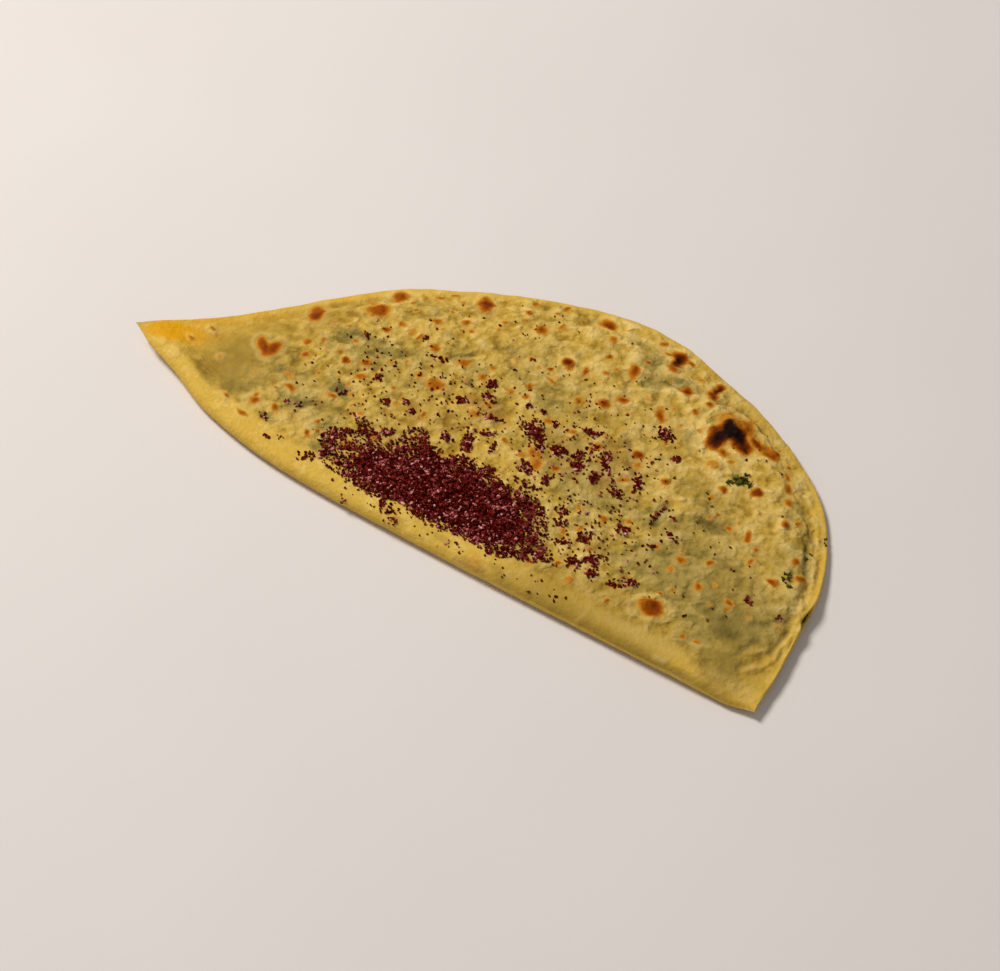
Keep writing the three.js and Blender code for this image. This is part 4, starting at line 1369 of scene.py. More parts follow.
class SkinFields:
    """What the griddle and the greens did to the dough at each place on its skin."""

    def __init__(self, places, from_fold, from_arc, side):
        self.places = places
        self.from_fold, self.from_arc, self.side = from_fold, from_arc, side
        x, y = places[:, 0], places[:, 1]
        self.over = fade(side, *OUTSIDE_FADE)
        self.under = fade(-side, *OUTSIDE_FADE)
        low = 1 - LOW_RIM_LESS * fade(-y, *LOW_RIM_FADE)
        rim = RIM_BAND + LEFT_RIM_MORE * (1 - fade(x, *LEFT_RIM_FADE))
        rim = rim + RIGHT_RIM_MORE * fade(x, *RIGHT_RIM_FADE) * low
        band = between(LEFT_BAND, FOLD_BAND, fade(x, *LEFT_BAND_FADE))
        band = between(band, RIGHT_BAND, fade(x, *RIGHT_BAND_FADE))
        left = fade(x - LEFT_TIP_SLANT * y, *LEFT_TIP_FADE)
        right = fade(x + RIGHT_TIP_SLANT * (y + RIGHT_TIP_LEVEL), *RIGHT_TIP_FADE)
        right = 1 - right * fade(-y, *RIGHT_TIP_LOW)
        ragged = noise_sum(places, GREENS_EDGE_NOISE)
        self.filled = fade(from_fold - band + ragged, *FILLED_FROM_FOLD) * left * right
        self.filled *= fade(from_arc - rim + RIM_RAGGED * ragged, *FILLED_FROM_ARC)
        self.lumpy = fade(from_fold - band, *LUMPY_FROM_FOLD)
        self.lumpy *= fade(from_arc - LUMPY_RIM_SHARE * rim, *LUMPY_FROM_ARC)
        left = fade(x - SMOOTH_LEFT_SLANT * y, *SMOOTH_LEFT_FADE)
        self.lumpy *= between(SMOOTH_LEFT, 1.0, left)
        right = fade(x + SMOOTH_RIGHT_SLANT * (y + SMOOTH_RIGHT_LEVEL), *SMOOTH_RIGHT_FADE)
        self.lumpy *= 1 - SMOOTH_RIGHT * right * fade(-y, *SMOOTH_RIGHT_LOW)
        self.lumpy *= self.over + LUMPY_UNDER * self.under
        self.x = x + SHAPE_WANDER * lumps(places, SHAPE_WANDER_SIZE, layer=20)
        self.y = y + SHAPE_WANDER * lumps(places, SHAPE_WANDER_SIZE, layer=24)

    def patched(self, patches, edge):
        """The strongest of these patches at each place."""
        show = np.zeros(len(self.x))
        for patch in patches:
            reach = spot_reach(self.x, self.y, patch)
            show = np.maximum(show, patch[5] * (1 - fade(reach, *edge)))
        return show

    def near_bubble(self, x, y, within):
        """The numbers of the places near a bubble, and how far each is from it."""
        near = (np.abs(self.x - x) < within) & (np.abs(self.y - y) < within)
        near = np.flatnonzero(near)
        return near, np.hypot(self.x[near] - x, self.y[near] - y)

    def bumpiness(self, grain):
        """Air bumps, wrinkles and grain: about 0 in the valleys and 1 on the tops."""
        air = domes(self.places, AIR_SIZE, layer=4)
        small = domes(self.places, SMALL_AIR_SIZE, layer=6)
        wrinkle = lumps(stretched(self.places, STREAK_TURN, WRINKLE_STRETCH), WRINKLE_SIZE, layer=9)
        wrinkle = np.clip(1 - np.abs(wrinkle) * WRINKLE_THIN, 0, 1) ** WRINKLE_POWER
        patchy = lumps(self.places, WRINKLE_PATCH_SIZE, layer=14)
        patchy = WRINKLE_PATCHES[0] + WRINKLE_PATCHES[1] * patchy
        bumpy = air * AIR_SHARE + small * SMALL_AIR_SHARE
        bumpy += wrinkle * WRINKLE_SHARE * patchy
        bumpy += GRAIN_SHARE * grain
        crumple = lumps(stretched(self.places, STREAK_TURN, CRUMPLE_STRETCH), CRUMPLE_SIZE, layer=36)
        crumple = np.clip(1 - np.abs(crumple) * CRUMPLE_THIN, 0, 1) ** 2
        slanted = self.places[:, 0] + self.places[:, 1] * CRUMPLE_SLANT
        return bumpy + CRUMPLE_SHARE * (crumple * fade(slanted, *CRUMPLE_FADE))

    def relief(self, heights):
        """How far the skin stands out at each place, and how much paler its raised places are painted,
        partly as painted highlight.
        """
        self.browning()
        soft = lumps(self.places, SWELL_SIZE, layer=2)
        grain = lumps(self.places, GRAIN_SIZE, layer=12)
        bumpy = self.bumpiness(grain)
        rough = between(SMOOTH_SHARE, 1.0, self.lumpy) * self.over
        raised = bumpy * between(RAISED_SMOOTH_SHARE, 1.0, self.lumpy)
        self.raised = np.clip(raised, 0, RAISED_MOST)
        swell = SWELL_SHARE * heights.swell * soft
        out = rough * (heights.bumps * (bumpy - BUMP_MIDDLE) + swell)
        out += self.over * (1 - self.lumpy) * noise_sum(self.places, BARE_SKIN_NOISE)
        for x, y, radius, height in BUBBLES:
            reach = np.hypot(self.places[:, 0] - x, self.places[:, 1] - y)
            rise = 1 - fade(reach / radius, *BUBBLE_EDGE)
            out += self.over * height * rise
            self.raised = np.maximum(self.raised, self.over * rise * (BUBBLE_PALE_AND_HIGHLIGHT + height))
        for x, y, radius, _ in SMALL_BUBBLES:
            near, reach = self.near_bubble(x, y, 2 * radius)
            rise = 1 - fade(reach / radius, *SMALL_BUBBLE_EDGE)
            rise *= self.show_bubbles[near]
            out[near] += BUBBLE_RISE * radius * rise
            self.raised[near] = np.maximum(self.raised[near], rise)
        out += self.over * (SPOT_RISE * self.blistered - SPOT_SINK * self.scorch)
        for spot in HOLLOWS:
            reach = spot_reach(self.x, self.y, spot) + HOLLOW_UNEVEN * grain
            dip = spot[5] * (1 - fade(reach, *HOLLOW_EDGE)) * self.over
            out -= dip
            self.hollow = np.maximum(self.hollow, dip)
        for line in CREASES:
            near = np.exp(-((line_reach(self.x, self.y, line) / CREASE_WIDTH) ** 2))
            out -= CREASE_DEPTH * self.over * line[4] * near
            self.crease = np.maximum(self.crease, near * self.over * line[4] * CREASE_SHADE)
        for line in RIDGES:
            near = np.exp(-((line_reach(self.x, self.y, line) / line[5]) ** 2))
            out += self.over * line[4] * near
            # Ridge tops painted paler: painted highlight.
            pale = near * self.over * (RIDGE_HIGHLIGHT[0] + RIDGE_HIGHLIGHT[1] * line[4])
            self.raised = np.maximum(self.raised, pale)
        pits = np.clip(lumps(self.places, PIT_SIZE, layer=30), 0, 1)
        pits = pits + SMALL_PIT_SHARE * domes(self.places, SMALL_PIT_SIZE, layer=31)
        out -= self.under * PIT_DEPTH * pits
        return out

    def browning(self):
        """Where the griddle browned or burnt the skin, and the pale rings round that."""
        self.crease = np.zeros(len(self.x))
        self.hollow = np.zeros(len(self.x))
        self.scorch = np.zeros(len(self.x))
        self.halo = np.zeros(len(self.x))
        self.blistered = np.zeros(len(self.x))
        uneven = noise_sum(self.places, SPOT_NOISE)
        for spot in GRIDDLE_SPOTS:
            self.brown_spot(spot, uneven)
        self.show_bubbles = self.over * fade(self.from_fold, *BUBBLES_FROM_FOLD)
        self.show_bubbles *= fade(self.from_arc, *BUBBLES_FROM_ARC)
        self.show_bubbles *= fade(self.lumpy, *BUBBLES_LUMPY)
        for x, y, radius, brown in SMALL_BUBBLES:
            near, reach = self.near_bubble(x, y, radius)
            reach = reach / radius + uneven[near]
            dark = brown * (1 - fade(reach, 0, 1)) * self.show_bubbles[near]
            dark *= 1 - np.minimum(1, RING_HIDES_BUBBLES * self.halo[near])
            self.scorch[near] = np.maximum(self.scorch[near], dark)
        self.char = np.zeros(len(self.x))
        for spot in CHAR_SPOTS:
            reach = spot_reach(self.x, self.y, spot) + uneven
            self.char = np.maximum(self.char, spot[5] * (1 - fade(reach, *CHAR_EDGE)))
        self.char = self.char * self.over
        self.scorch = self.scorch * self.over + UNDER_BROWN * self.spots_under() * self.under
        self.halo = np.maximum(self.halo, self.patched(PALE_PATCHES, PALE_EDGE))
        self.halo = self.halo * self.over * (1 - np.minimum(1, self.scorch))

    def brown_spot(self, spot, uneven):
        """One browned spot, its pale ring and the low blister under it."""
        radius = math.sqrt(spot[2] * spot[3]) / 2
        reach = spot_reach(self.x, self.y, spot) + uneven * SPOT_UNEVEN / radius
        core = SPOT_CORE[0] + SPOT_CORE[1] * fade(radius, *SPOT_CORE_RADII)
        dark = spot[5] * (1 - fade(reach, core, SPOT_EDGE - core / 2))
        lean = math.sin(spot[0])
        aside = (self.x - spot[0]) * math.cos(lean) + (self.y - spot[1]) * math.sin(lean)
        dark = dark * (1 + SPOT_LEAN * np.clip(aside / radius, -1, 1))
        self.scorch = np.maximum(self.scorch, dark)
        ring_end = [RING_END + width / radius for width in RING_WIDTHS]
        ring = fade(reach, *RING_START) * (1 - fade(reach, *ring_end))
        self.halo = np.maximum(self.halo, ring * spot[5])
        blister = spot[5] * (1 - fade(reach, *SPOT_BLISTER_EDGE))
        self.blistered = np.maximum(self.blistered, blister)

    def spots_under(self):
        """How brown the underside is."""
        patches = lumps(self.places, UNDER_PATCH_SIZE, layer=33) * UNDER_PATCH[0]
        patches = np.clip(patches + UNDER_PATCH[1], 0, 1)
        spots = domes(self.places, UNDER_SPOT_SIZE, layer=34) * UNDER_SPOT[0]
        spots = np.clip(spots - UNDER_SPOT[1], 0, 1) * patches
        inside = fade(self.from_fold, *UNDER_FROM_FOLD) * fade(self.from_arc, *UNDER_FROM_ARC)
        return spots * inside

    def greens(self):
        """How much of the greens inside shows through the skin, with painted shade added in hollows and low
        on the fold.
        """
        show = GREEN_SHOWS + GREEN_SLOW[0] * lumps(self.places, GREEN_SLOW[1], layer=40)
        show = show - GREEN_HIGH_LESS * fade(self.places[:, 1], *GREEN_HIGH_FADE)
        for patch in GREEN_PATCHES:
            reach = spot_reach(self.x, self.y, patch)
            show = show + patch[5] * GREEN_PATCH_SHARE * (1 - fade(reach, *GREEN_EDGE))
        # Painted shade in the hollows, added to the greens.
        show = np.clip(show + HOLLOW_GREEN_AND_SHADE * self.hollow, 0, GREEN_MOST) * self.filled
        # Fold tints: partly greens, partly painted shade low on the fold's right side.
        for tint in FOLD_TINTS_AND_SHADE:
            reach = spot_reach(self.x, self.y, tint)
            show = show + tint[5] * (1 - self.filled) * (1 - fade(reach, *TINT_EDGE))
        # Painted shade low on the rounded fold, towards the right.
        low = 1 - fade(self.from_fold, *FOLD_SHADE_FADE)
        low = low * fade(self.x, *FOLD_SHADE_FROM) * FOLD_SHADE_SHARE
        inside = (np.abs(self.side) < INSIDE_SIDE) * GREEN_INSIDE
        return (show + low) * (self.over + GREEN_UNDER * self.under) + inside

    def dull(self):
        """Where the dough is darker: partly duller dough, partly painted shade where the skin near the fold
        turns from the light.
        """
        return self.patched(DULL_AND_SHADE_PATCHES, DULL_EDGE) * self.over

    def golden(self):
        """Where the dough is bare of greens and baked golden."""
        return self.patched(GOLDEN_PATCHES, GOLDEN_EDGE) * (self.over + self.under)

    def stained(self):
        """Where the sumac has coloured the skin."""
        return self.patched(SUMAC_STAINS, STAIN_EDGE) * self.over


def make_dough(sizes, looks):
    """The folded dough: one sheet, round the fold and open along a thin seam."""
    piece, ring, segment = round_grid("folded_dough", RINGS, LOOP_STEPS)
    shares = ring_shares()
    ribs = Ribs(shares)
    x, y, z, side = skin_sections(ribs, sizes.layer / MM)
    grid = round_the_tips(np.stack([x, y, z], axis=2), shares, fold_line.length)
    spots = grid[ring, segment]
    for end in (0, RINGS):
        spots[ring == end] = grid[end].mean(axis=0)
    across = Ribs(shares[:, None])
    from_fold = np.linalg.norm(np.stack([x, y], axis=2) - across.start, axis=2)[ring, segment]
    from_arc = ribs.width[ring] - from_fold
    spots[:, :2] += PLAN_SHIFT
    spots[:, 2] = np.maximum(spots[:, 2], 0)
    set_places(piece, spots * MM)
    turn_faces_out(piece)
    fields = SkinFields(spots, from_fold, from_arc, side[ring, segment])
    out = fields.relief(sizes)
    spots = spots + mesh_normals(piece) * out[:, None]
    spots[:, 2] = np.maximum(spots[:, 2], 0)
    set_places(piece, spots * MM)
    for name in ("raised", "lumpy", "filled", "scorch", "char", "halo"):
        keep_field(piece, name, getattr(fields, name))
    keep_field(piece, "crease", fields.crease * fields.filled)
    keep_field(piece, "green", fields.greens())
    keep_field(piece, "golden", fields.golden())
    keep_field(piece, "dull", fields.dull())
    keep_field(piece, "stain", fields.stained())
    pick(piece)
    bpy.ops.object.shade_smooth()
    place_piece(piece, dough_material(looks), "baked_dough", "dough")


# ------------------------------------------------------------------ the greens


def make_greens(sizes, looks):
    """The chopped greens between the layers, with a tongue out to the sprung seam."""
    piece, ring, segment = round_grid("chopped_greens", GREENS_RINGS, 2 * GREENS_STEPS)
    along = between(GREENS_FROM, GREENS_TO, np.arange(GREENS_RINGS + 1) / GREENS_RINGS)
    ribs = Ribs(along[:, None])
    to_slit = (along - SLIT_ALONG)[:, None] * arc_line.length
    tongue = to_slit / (SLIT_HALF_WIDTH * GREENS_TONGUE[0])
    tongue = np.exp(-(tongue ** GREENS_TONGUE[1]))
    start = GREENS_FOLD_INSET
    end = ribs.width - between(GREENS_ARC_INSET, GREENS_SETBACK, tongue)
    there = np.arange(GREENS_STEPS) / GREENS_STEPS
    across = np.concatenate([there, 1 - there])[None, :]
    spots = ribs.places(between(start, end, across))
    channel = LEAST_GAP + SLIT_OPENING * np.exp(-((to_slit / SLIT_HALF_WIDTH) ** 2))
    wall = np.minimum(sizes.layer / MM, (spots.thickness - channel) / 2)
    roof, floor = spots.top - wall - GREENS_GAP, spots.bottom + wall + GREENS_GAP
    half = np.maximum((roof - floor) / 2, GREENS_LEAST_HALF)
    half = half * np.sqrt(1 - (2 * across - 1) ** GREENS_SQUARENESS)
    side = np.concatenate([np.ones(GREENS_STEPS), -np.ones(GREENS_STEPS)])[None, :]
    grid = np.stack([spots.x, spots.y, (roof + floor) / 2 + side * half], axis=2)
    share = (along - GREENS_FROM) / (GREENS_TO - GREENS_FROM)
    grid = round_the_tips(grid, share, GREENS_LENGTH)
    places = grid[ring, segment]
    for last in (0, GREENS_RINGS):
        places[ring == last] = grid[last].mean(axis=0)
    places[:, 2] += GREENS_ROUGH[0] * lumps(places, GREENS_ROUGH[1], layer=50)
    places[:, :2] += PLAN_SHIFT
    set_places(piece, places * MM)
    turn_faces_out(piece)
    tone = lumps(places, GREENS_TONE_SIZE, layer=51)
    keep_field(piece, "tone", np.clip(tone, 0, GREENS_TONE_MOST))
    pick(piece)
    bpy.ops.object.shade_smooth()
    place_piece(piece, greens_material(looks), "cooked_greens", "greens_filling")


# ------------------------------------------------------------------ loose things


def crumb_shape(number):
    """One angular crumb, about 1 across, with its corners pushed about."""
    deselect()
    bpy.ops.mesh.primitive_ico_sphere_add(subdivisions=1, radius=0.5)
    crumb = bpy.context.object
    bpy.ops.object.mode_set(mode="EDIT")
    bpy.ops.mesh.select_all(action="SELECT")
    bpy.ops.transform.vertex_random(offset=CRUMB_ROUGH, uniform=1.0, seed=number)
    bpy.ops.transform.resize(value=CRUMB_SQUASH[number % len(CRUMB_SQUASH)])
    bpy.ops.object.mode_set(mode="OBJECT")
    return take_shape(crumb)


def leaf_shape(number):
    """One small torn leaf, about 1 long: thin, jagged and a little crumpled."""
    deselect()
    bpy.ops.mesh.primitive_circle_add(vertices=LEAF_POINTS, radius=0.5, fill_type="TRIFAN")
    leaf = bpy.context.object
    blade = mesh_places(leaf)
    chance = random.Random(number)
    reach = np.array([chance.uniform(*LEAF_REACH) for _ in blade])
    reach[::2] *= LEAF_NOTCH
    least, step, kinds = LEAF_WIDTHS
    blade[:, 0] *= reach
    blade[:, 1] *= reach * (least + step * (number % kinds))
    (high, close), (high_across, close_across) = LEAF_CRUMPLES
    crumple = high * np.sin(blade[:, 0] * close + number)
    blade[:, 2] = crumple + high_across * np.sin(blade[:, 1] * close_across - number)
    set_places(leaf, blade)
    thick = leaf.modifiers.new("thickness", "SOLIDIFY")
    thick.thickness = LEAF_THICKNESS
    thick.offset = 0
    bpy.ops.object.modifier_apply(modifier=thick.name)
    return take_shape(leaf)


def take_shape(piece):
    """Takes a modelled shape's places and faces, and puts the model away."""
    spots = mesh_places(piece)
    faces = [tuple(face.vertices) for face in piece.data.polygons]
    mesh = piece.data
    bpy.data.objects.remove(piece)
    bpy.data.meshes.remove(mesh)
    return spots, faces


class Sprinkle:
    """Copies of a few small shapes that lie on the bread, joined into one piece."""

    def __init__(self, shapes, ground, seed):
        self.shapes = shapes
        self.ground = ground
        self.chance = random.Random(seed)
        self.spots, self.faces, self.tones = [], [], []
        self.count = 0

    def land(self, x, y):
        """Where something dropped at x and y comes to lie, and which way is up there."""
        start = Vector((x * MM, y * MM, DROP_HEIGHT * MM))
        best = None
        for tree in self.ground:
            place, normal, _, _ = tree.ray_cast(start, Vector((0, 0, -1)))
            if place is not None and (best is None or place.z > best[0].z):
                best = (place, normal)
        return best and (best[0] / MM, best[1])

    def add(self, place, size, tone, turn):
        spots, faces = self.chance.choice(self.shapes)
        turned = spots @ np.array(turn.to_3x3()).T * size + np.array(place)
        self.faces += [tuple(corner + self.count for corner in face) for face in faces]
        self.spots.append(turned)
        self.tones.append(np.full(len(spots), tone))
        self.count += len(spots)

    def any_turn(self):
        axis = Vector([self.chance.gauss(0, 1) for _ in range(3)]).normalized()
        return Matrix.Rotation(self.chance.uniform(0, TURN), 4, axis)

    def drop(self, x, y, size, tone, raised=CRUMB_RAISED):
        """Drops one piece. It lies on what is under it, sunk in a little."""
        found = self.land(x, y)
        if found:
            place, normal = found
            self.add(place + normal * size * raised, size, tone, self.any_turn())

    def join(self, name, material, slot):
        mesh = bpy.data.meshes.new(name)
        mesh.from_pydata(np.concatenate(self.spots) * MM, [], self.faces)
        piece = bpy.data.objects.new(name, mesh)
        bpy.context.scene.collection.objects.link(piece)
        keep_field(piece, "tone", np.concatenate(self.tones))
        place_piece(piece, material, slot)
        return piece


def ground_tree(name):
    """What loose things can land on."""
    piece = bpy.data.objects[name]
    return BVHTree.FromObject(piece, bpy.context.evaluated_depsgraph_get())


def sumac_tone(chance, spread=CRUMB_TONES):
    if chance.random() < GLINT_SHARE:
        return chance.uniform(*GLINT_TONES)
    return min(CRUMB_PALEST, max(0.0, chance.gauss(CRUMB_TONE, spread)))


def make_leaf_shreds(looks):
    """Shreds of leaf that poke through the skin, and the tuft at the sprung seam."""
    shapes = [leaf_shape(number) for number in range(LEAF_KINDS)]
    shreds = Sprinkle(shapes, [ground_tree("folded_dough")], SEED + 1)
    chance = shreds.chance
    for x, y, spread, count, size in LEAF_TUFTS:
        for _ in range(count):
            angle, out = chance.uniform(0, TURN), spread * math.sqrt(chance.random())
            found = shreds.land(x + out * math.cos(angle), y + out * math.sin(angle))
            if not found:
                continue
            length = size * chance.uniform(*LEAF_SIZES)
            lean = Matrix.Rotation(chance.uniform(-LEAF_LEAN, LEAF_LEAN), 4, "Y")
            turn = Matrix.Rotation(chance.uniform(0, TURN), 4, "Z") @ lean
            turn = turn @ Matrix.Rotation(chance.uniform(-LEAF_LEAN, LEAF_LEAN), 4, "X")
            place = found[0] + found[1] * LEAF_LIFT * length
            shreds.add(place, length, chance.uniform(*LEAF_TONES), turn)
    for x, y, z, length, turn, lean, tone in SLIT_LEAVES:
        place = Vector((x, y, z))
        facing = Matrix.Rotation(math.radians(turn), 4, "Z")
        facing = facing @ Matrix.Rotation(math.radians(lean), 4, "X")
        shreds.add(place, length, tone, facing)
    piece = shreds.join("leaf_shreds", greens_material(looks), "cooked_greens")
    pick(piece)
    bpy.ops.object.shade_smooth()


# ------------------------------------------------------------------ the sumac


def heap_place(around, out, middle=HEAP_MIDDLE):
    """A place in the heap: around is a share of its edge, out is 0 in its middle."""
    spot = between(np.array(middle, float), heap_line(around), np.asarray(out)[..., None])
    spots = Ribs(HEAP_ALONG + spot[..., 0] / fold_line.length).places(spot[..., 1])
    return spots.x + PLAN_SHIFT[0], spots.y + PLAN_SHIFT[1]


def even_in_heap(chance):
    """A random place in the heap, with as many to each square millimetre everywhere."""
    around = np.linspace(0, 1, HEAP_SEGMENTS + 1)
    edge = heap_line(around) - np.array(HEAP_MIDDLE)
    swept = np.abs(edge[:-1, 0] * edge[1:, 1] - edge[:-1, 1] * edge[1:, 0])
    swept = np.concatenate([[0], np.cumsum(swept)])
    while True:
        share = np.interp(chance.random() * swept[-1], swept, around)
        out = math.sqrt(chance.random()) * HEAP_FRINGE
        x, y = heap_place(share, out)
        yield float(x), float(y), out


def make_heap(sizes, looks):
    """The core of the sumac heap, bedded on the dough, its colour near the darkest sumac as painted shade
    between the crumbs.
    """
    piece, ring, segment = round_grid("sumac_heap_core", HEAP_RINGS, HEAP_SEGMENTS)
    half = HEAP_RINGS / 2
    out = 1 - np.abs(ring - half) / half
    x, y = heap_place(segment / HEAP_SEGMENTS, out * HEAP_CORE_SHARE, HEAP_CORE_MIDDLE)
    spots = np.stack([x, y, 0 * x], axis=1)
    tree = ground_tree("folded_dough")
    down = Vector((0, 0, -1))
    below = [tree.ray_cast(Vector((*spot[:2], DROP_HEIGHT)) * MM, down)[0].z / MM for spot in spots]
    uneven = HEAP_LEVELS[0] + HEAP_LEVELS[1] * lumps(spots, HEAP_LUMP_SIZE, layer=60)
    grainy = domes(spots, HEAP_GRAIN_SIZE, layer=62)
    grainy = grainy + HEAP_FINE_SHARE * lumps(spots, HEAP_FINE_SIZE, layer=63)
    rise = sizes.heap / MM * (1 - out**HEAP_ROUND) * uneven
    grains = HEAP_GRAIN_HEIGHT * (1 - out**HEAP_GRAIN_EDGE) * (grainy - HEAP_GRAIN_MIDDLE)
    over = rise + grains - HEAP_RIM_SUNK * out
    under = -HEAP_SUNK * (1 - out**2) - HEAP_RIM_SUNK * out
    spots[:, 2] = below + np.where(ring <= half, np.maximum(over, -HEAP_RIM_SUNK), under)
    set_places(piece, spots * MM)
    turn_faces_out(piece)
    # The core is coloured near the darkest sumac: painted shade in the gaps between the crumbs.
    keep_field(piece, "tone", HEAP_GAP_SHADE_TONE * np.clip(grainy, 0, 1))
    pick(piece)
    bpy.ops.object.shade_smooth()
    place_piece(piece, sumac_material(looks), "ground_sumac", "sumac_heap")


def crumbs(names, seed):
    shapes = [crumb_shape(number) for number in range(CRUMB_KINDS)]
    return Sprinkle(shapes, [ground_tree(name) for name in names], seed)


def make_heap_crumbs(sizes, looks):
    """The loose crumbs on the heap and along its ragged edge."""
    loose = crumbs(("folded_dough", "sumac_heap_core"), SEED + 2)
    chance = loose.chance
    for _, (x, y, out) in zip(range(HEAP_CRUMBS), even_in_heap(chance)):
        ragged = HEAP_RAGGED[0] * noise.noise(Vector((x, y, 0)) / HEAP_RAGGED[1])
        thin = HEAP_THIN * fade(out + ragged, *HEAP_THIN_FADE)
        for gap in HEAP_GAPS:
            reach = spot_reach(x, y, gap) + ragged
            thin = max(thin, gap[5] * (1 - fade(reach, *HEAP_GAP_EDGE)))
        if chance.random() < thin:
            continue
        size = sizes.crumb / MM * chance.triangular(*HEAP_CRUMB_SIZES)
        loose.drop(x, y, size, sumac_tone(chance), chance.uniform(*HEAP_CRUMB_RAISED))
    loose.join("sumac_heap_crumbs", sumac_material(looks), "ground_sumac")


def clustered(chance):
    """A place in a patch, most often near its middle, in shares of its half sizes."""
    return chance.gauss(0, CLUSTER_SPREAD), chance.gauss(0, CLUSTER_SPREAD)


def strewn(chance):
    """A place in a patch, as often anywhere in it, in shares of its half sizes."""
    angle, out = chance.uniform(0, TURN), math.sqrt(chance.random())
    return out * math.cos(angle), out * math.sin(angle)


def scatter(name, seed, patches, spread, crumb, crumb_sizes, looks):
    """Drops each patch's count of crumbs on the skin, where spread puts them."""
    loose = crumbs(("folded_dough",), seed)
    chance = loose.chance
    for x, y, half_length, half_width, turn, count in patches:
        cos, sin = math.cos(math.radians(turn)), math.sin(math.radians(turn))
        for _ in range(count):
            along, across = spread(chance)
            along, across = along * half_length, across * half_width
            size = crumb / MM * chance.triangular(*crumb_sizes)
            place = (x + along * cos - across * sin, y + along * sin + across * cos)
            loose.drop(*place, size, sumac_tone(chance, CLUSTER_TONES))
    loose.join(name, sumac_material(looks), "ground_sumac")


# ------------------------------------------------------------------ the stage


def turned(azimuth, elevation):
    """The direction from the bread towards something at these angles, in degrees."""
    a, e = math.radians(azimuth), math.radians(elevation)
    return Vector((math.sin(a) * math.cos(e), -math.cos(a) * math.cos(e), math.sin(e)))


def soft_light(name, azimuth, elevation, distance, size, power, colour):
    deselect()
    bpy.ops.object.light_add(type="AREA", location=turned(azimuth, elevation) * distance)
    light = bpy.context.object
    light.name = name
    light.rotation_euler = turned(azimuth, elevation).to_track_quat("Z", "Y").to_euler()
    light.data.shape = "DISK"
    light.data.size = size
    light.data.energy = power
    light.data.color = colour


def set_stage():
    """A pale floor, soft light from the upper left and the camera."""
    deselect()
    bpy.ops.mesh.primitive_plane_add(size=FLOOR_SIZE)
    floor = bpy.context.object
    floor.name = "floor"
    floor.data.materials.append(floor_material())
    floor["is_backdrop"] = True
    soft_light("window_light", *KEY_LIGHT)
    soft_light("fill_light", *FILL_LIGHT)
    world = bpy.data.worlds.new("soft_room")
    world.use_nodes = True
    background = world.node_tree.nodes["Background"]
    background.inputs["Color"].default_value = WORLD_COLOUR
    background.inputs["Strength"].default_value = WORLD_STRENGTH
    scene = bpy.context.scene
    scene.world = world
    scene.view_settings.view_transform = "Standard"
    back = turned(CAMERA_AZIMUTH, CAMERA_ELEVATION)
    bpy.ops.object.camera_add(location=Vector(CAMERA_AIM) + back * CAMERA_DISTANCE)
    camera = bpy.context.object
    camera.name = "camera"
    level = back.to_track_quat("Z", "Y").to_matrix()
    camera.rotation_euler = (level @ Matrix.Rotation(math.radians(CAMERA_ROLL), 3, "Z")).to_euler()
    camera.data.lens = CAMERA_LENS
    camera.data.sensor_width = SENSOR_WIDTH
    scene.camera = camera


# ------------------------------------------------------------------ the add-on


def length(name, description, default):
    return bpy.props.FloatProperty(
        name=name, description=description, default=default * MM, unit="LENGTH", subtype="DISTANCE"
    )


def colour(name, description, default):
    return bpy.props.FloatVectorProperty(
        name=name, description=description, default=default, size=3, min=0, max=1, subtype="COLOR"
    )


class QutabSizes(bpy.types.PropertyGroup):
    layer: length("Dough layer", "Thickness of the rolled-out dough", 1.5)
    bumps: bpy.props.FloatProperty(name="Bumps", description="Height of the air bumps, in mm", default=0.95)
    swell: bpy.props.FloatProperty(name="Swell", description="Height of the soft swells, in mm", default=0.8)
    heap: length("Heap height", "Height of the heap's core over the dough", HEAP_HEIGHT)
    crumb: length("Sumac crumb", "Usual size of a crumb of sumac", 0.95)


class QutabLooks(bpy.types.PropertyGroup):
    dough: colour("Dough", "Griddled dough over the greens", (0.61, 0.385, 0.06))
    # Pale dough: on raised bumps and ridges partly painted highlight.
    pale: colour("Pale dough", "Raised bumps and the rings round brown spots", (0.84, 0.605, 0.2))
    # Hollows: painted shade between the bumps.
    valley: colour("Hollows", "Hollows between the bumps", (0.36, 0.2, 0.02))
    olive: colour("Olive", "Dough with greens close under it", (0.41, 0.292, 0.066))
    # Pale olive: bumps over the greens, partly painted highlight.
    pale_olive: colour("Pale olive", "Bumps over the greens", (0.63, 0.455, 0.15))
    # Greens showing: darkest in hollows, there partly painted shade.
    greens: colour("Greens showing", "Hollows where the greens show darkest", (0.19, 0.148, 0.034))
    # Deep greens: also painted shade in creases.
    deep_greens: colour("Deep greens", "Creases and the darkest patches", (0.105, 0.082, 0.02))
    shaded: colour("Shaded fold", "Darker dough low on the fold", (0.36, 0.225, 0.034))
    fold: colour("Fold", "Smooth dough along the fold", (0.68, 0.435, 0.068))
    golden: colour("Golden dough", "Bare dough at the tips", (0.76, 0.36, 0.006))
    leaf: colour("Leaf", "Lighter side of the cooked leaves", (0.095, 0.098, 0.006))
    leaf_dark: colour("Dark leaf", "Darker side of the cooked leaves", (0.028, 0.028, 0.002))
    stalk: colour("Stalk", "Pale stalks in the greens", (0.55, 0.55, 0.25))
    darkest: colour("Darkest sumac", "Shaded crumbs", (0.035, 0.0012, 0.0003))
    sumac: colour("Sumac", "Most crumbs", (0.15, 0.0078, 0.004))
    light_sumac: colour("Light sumac", "Lighter crumbs", (0.36, 0.055, 0.05))
    # Glint: painted highlight on a few crumbs, partly pale salt crystals.
    glint: colour("Glint", "Pale crystals among the crumbs", (0.85, 0.38, 0.34))


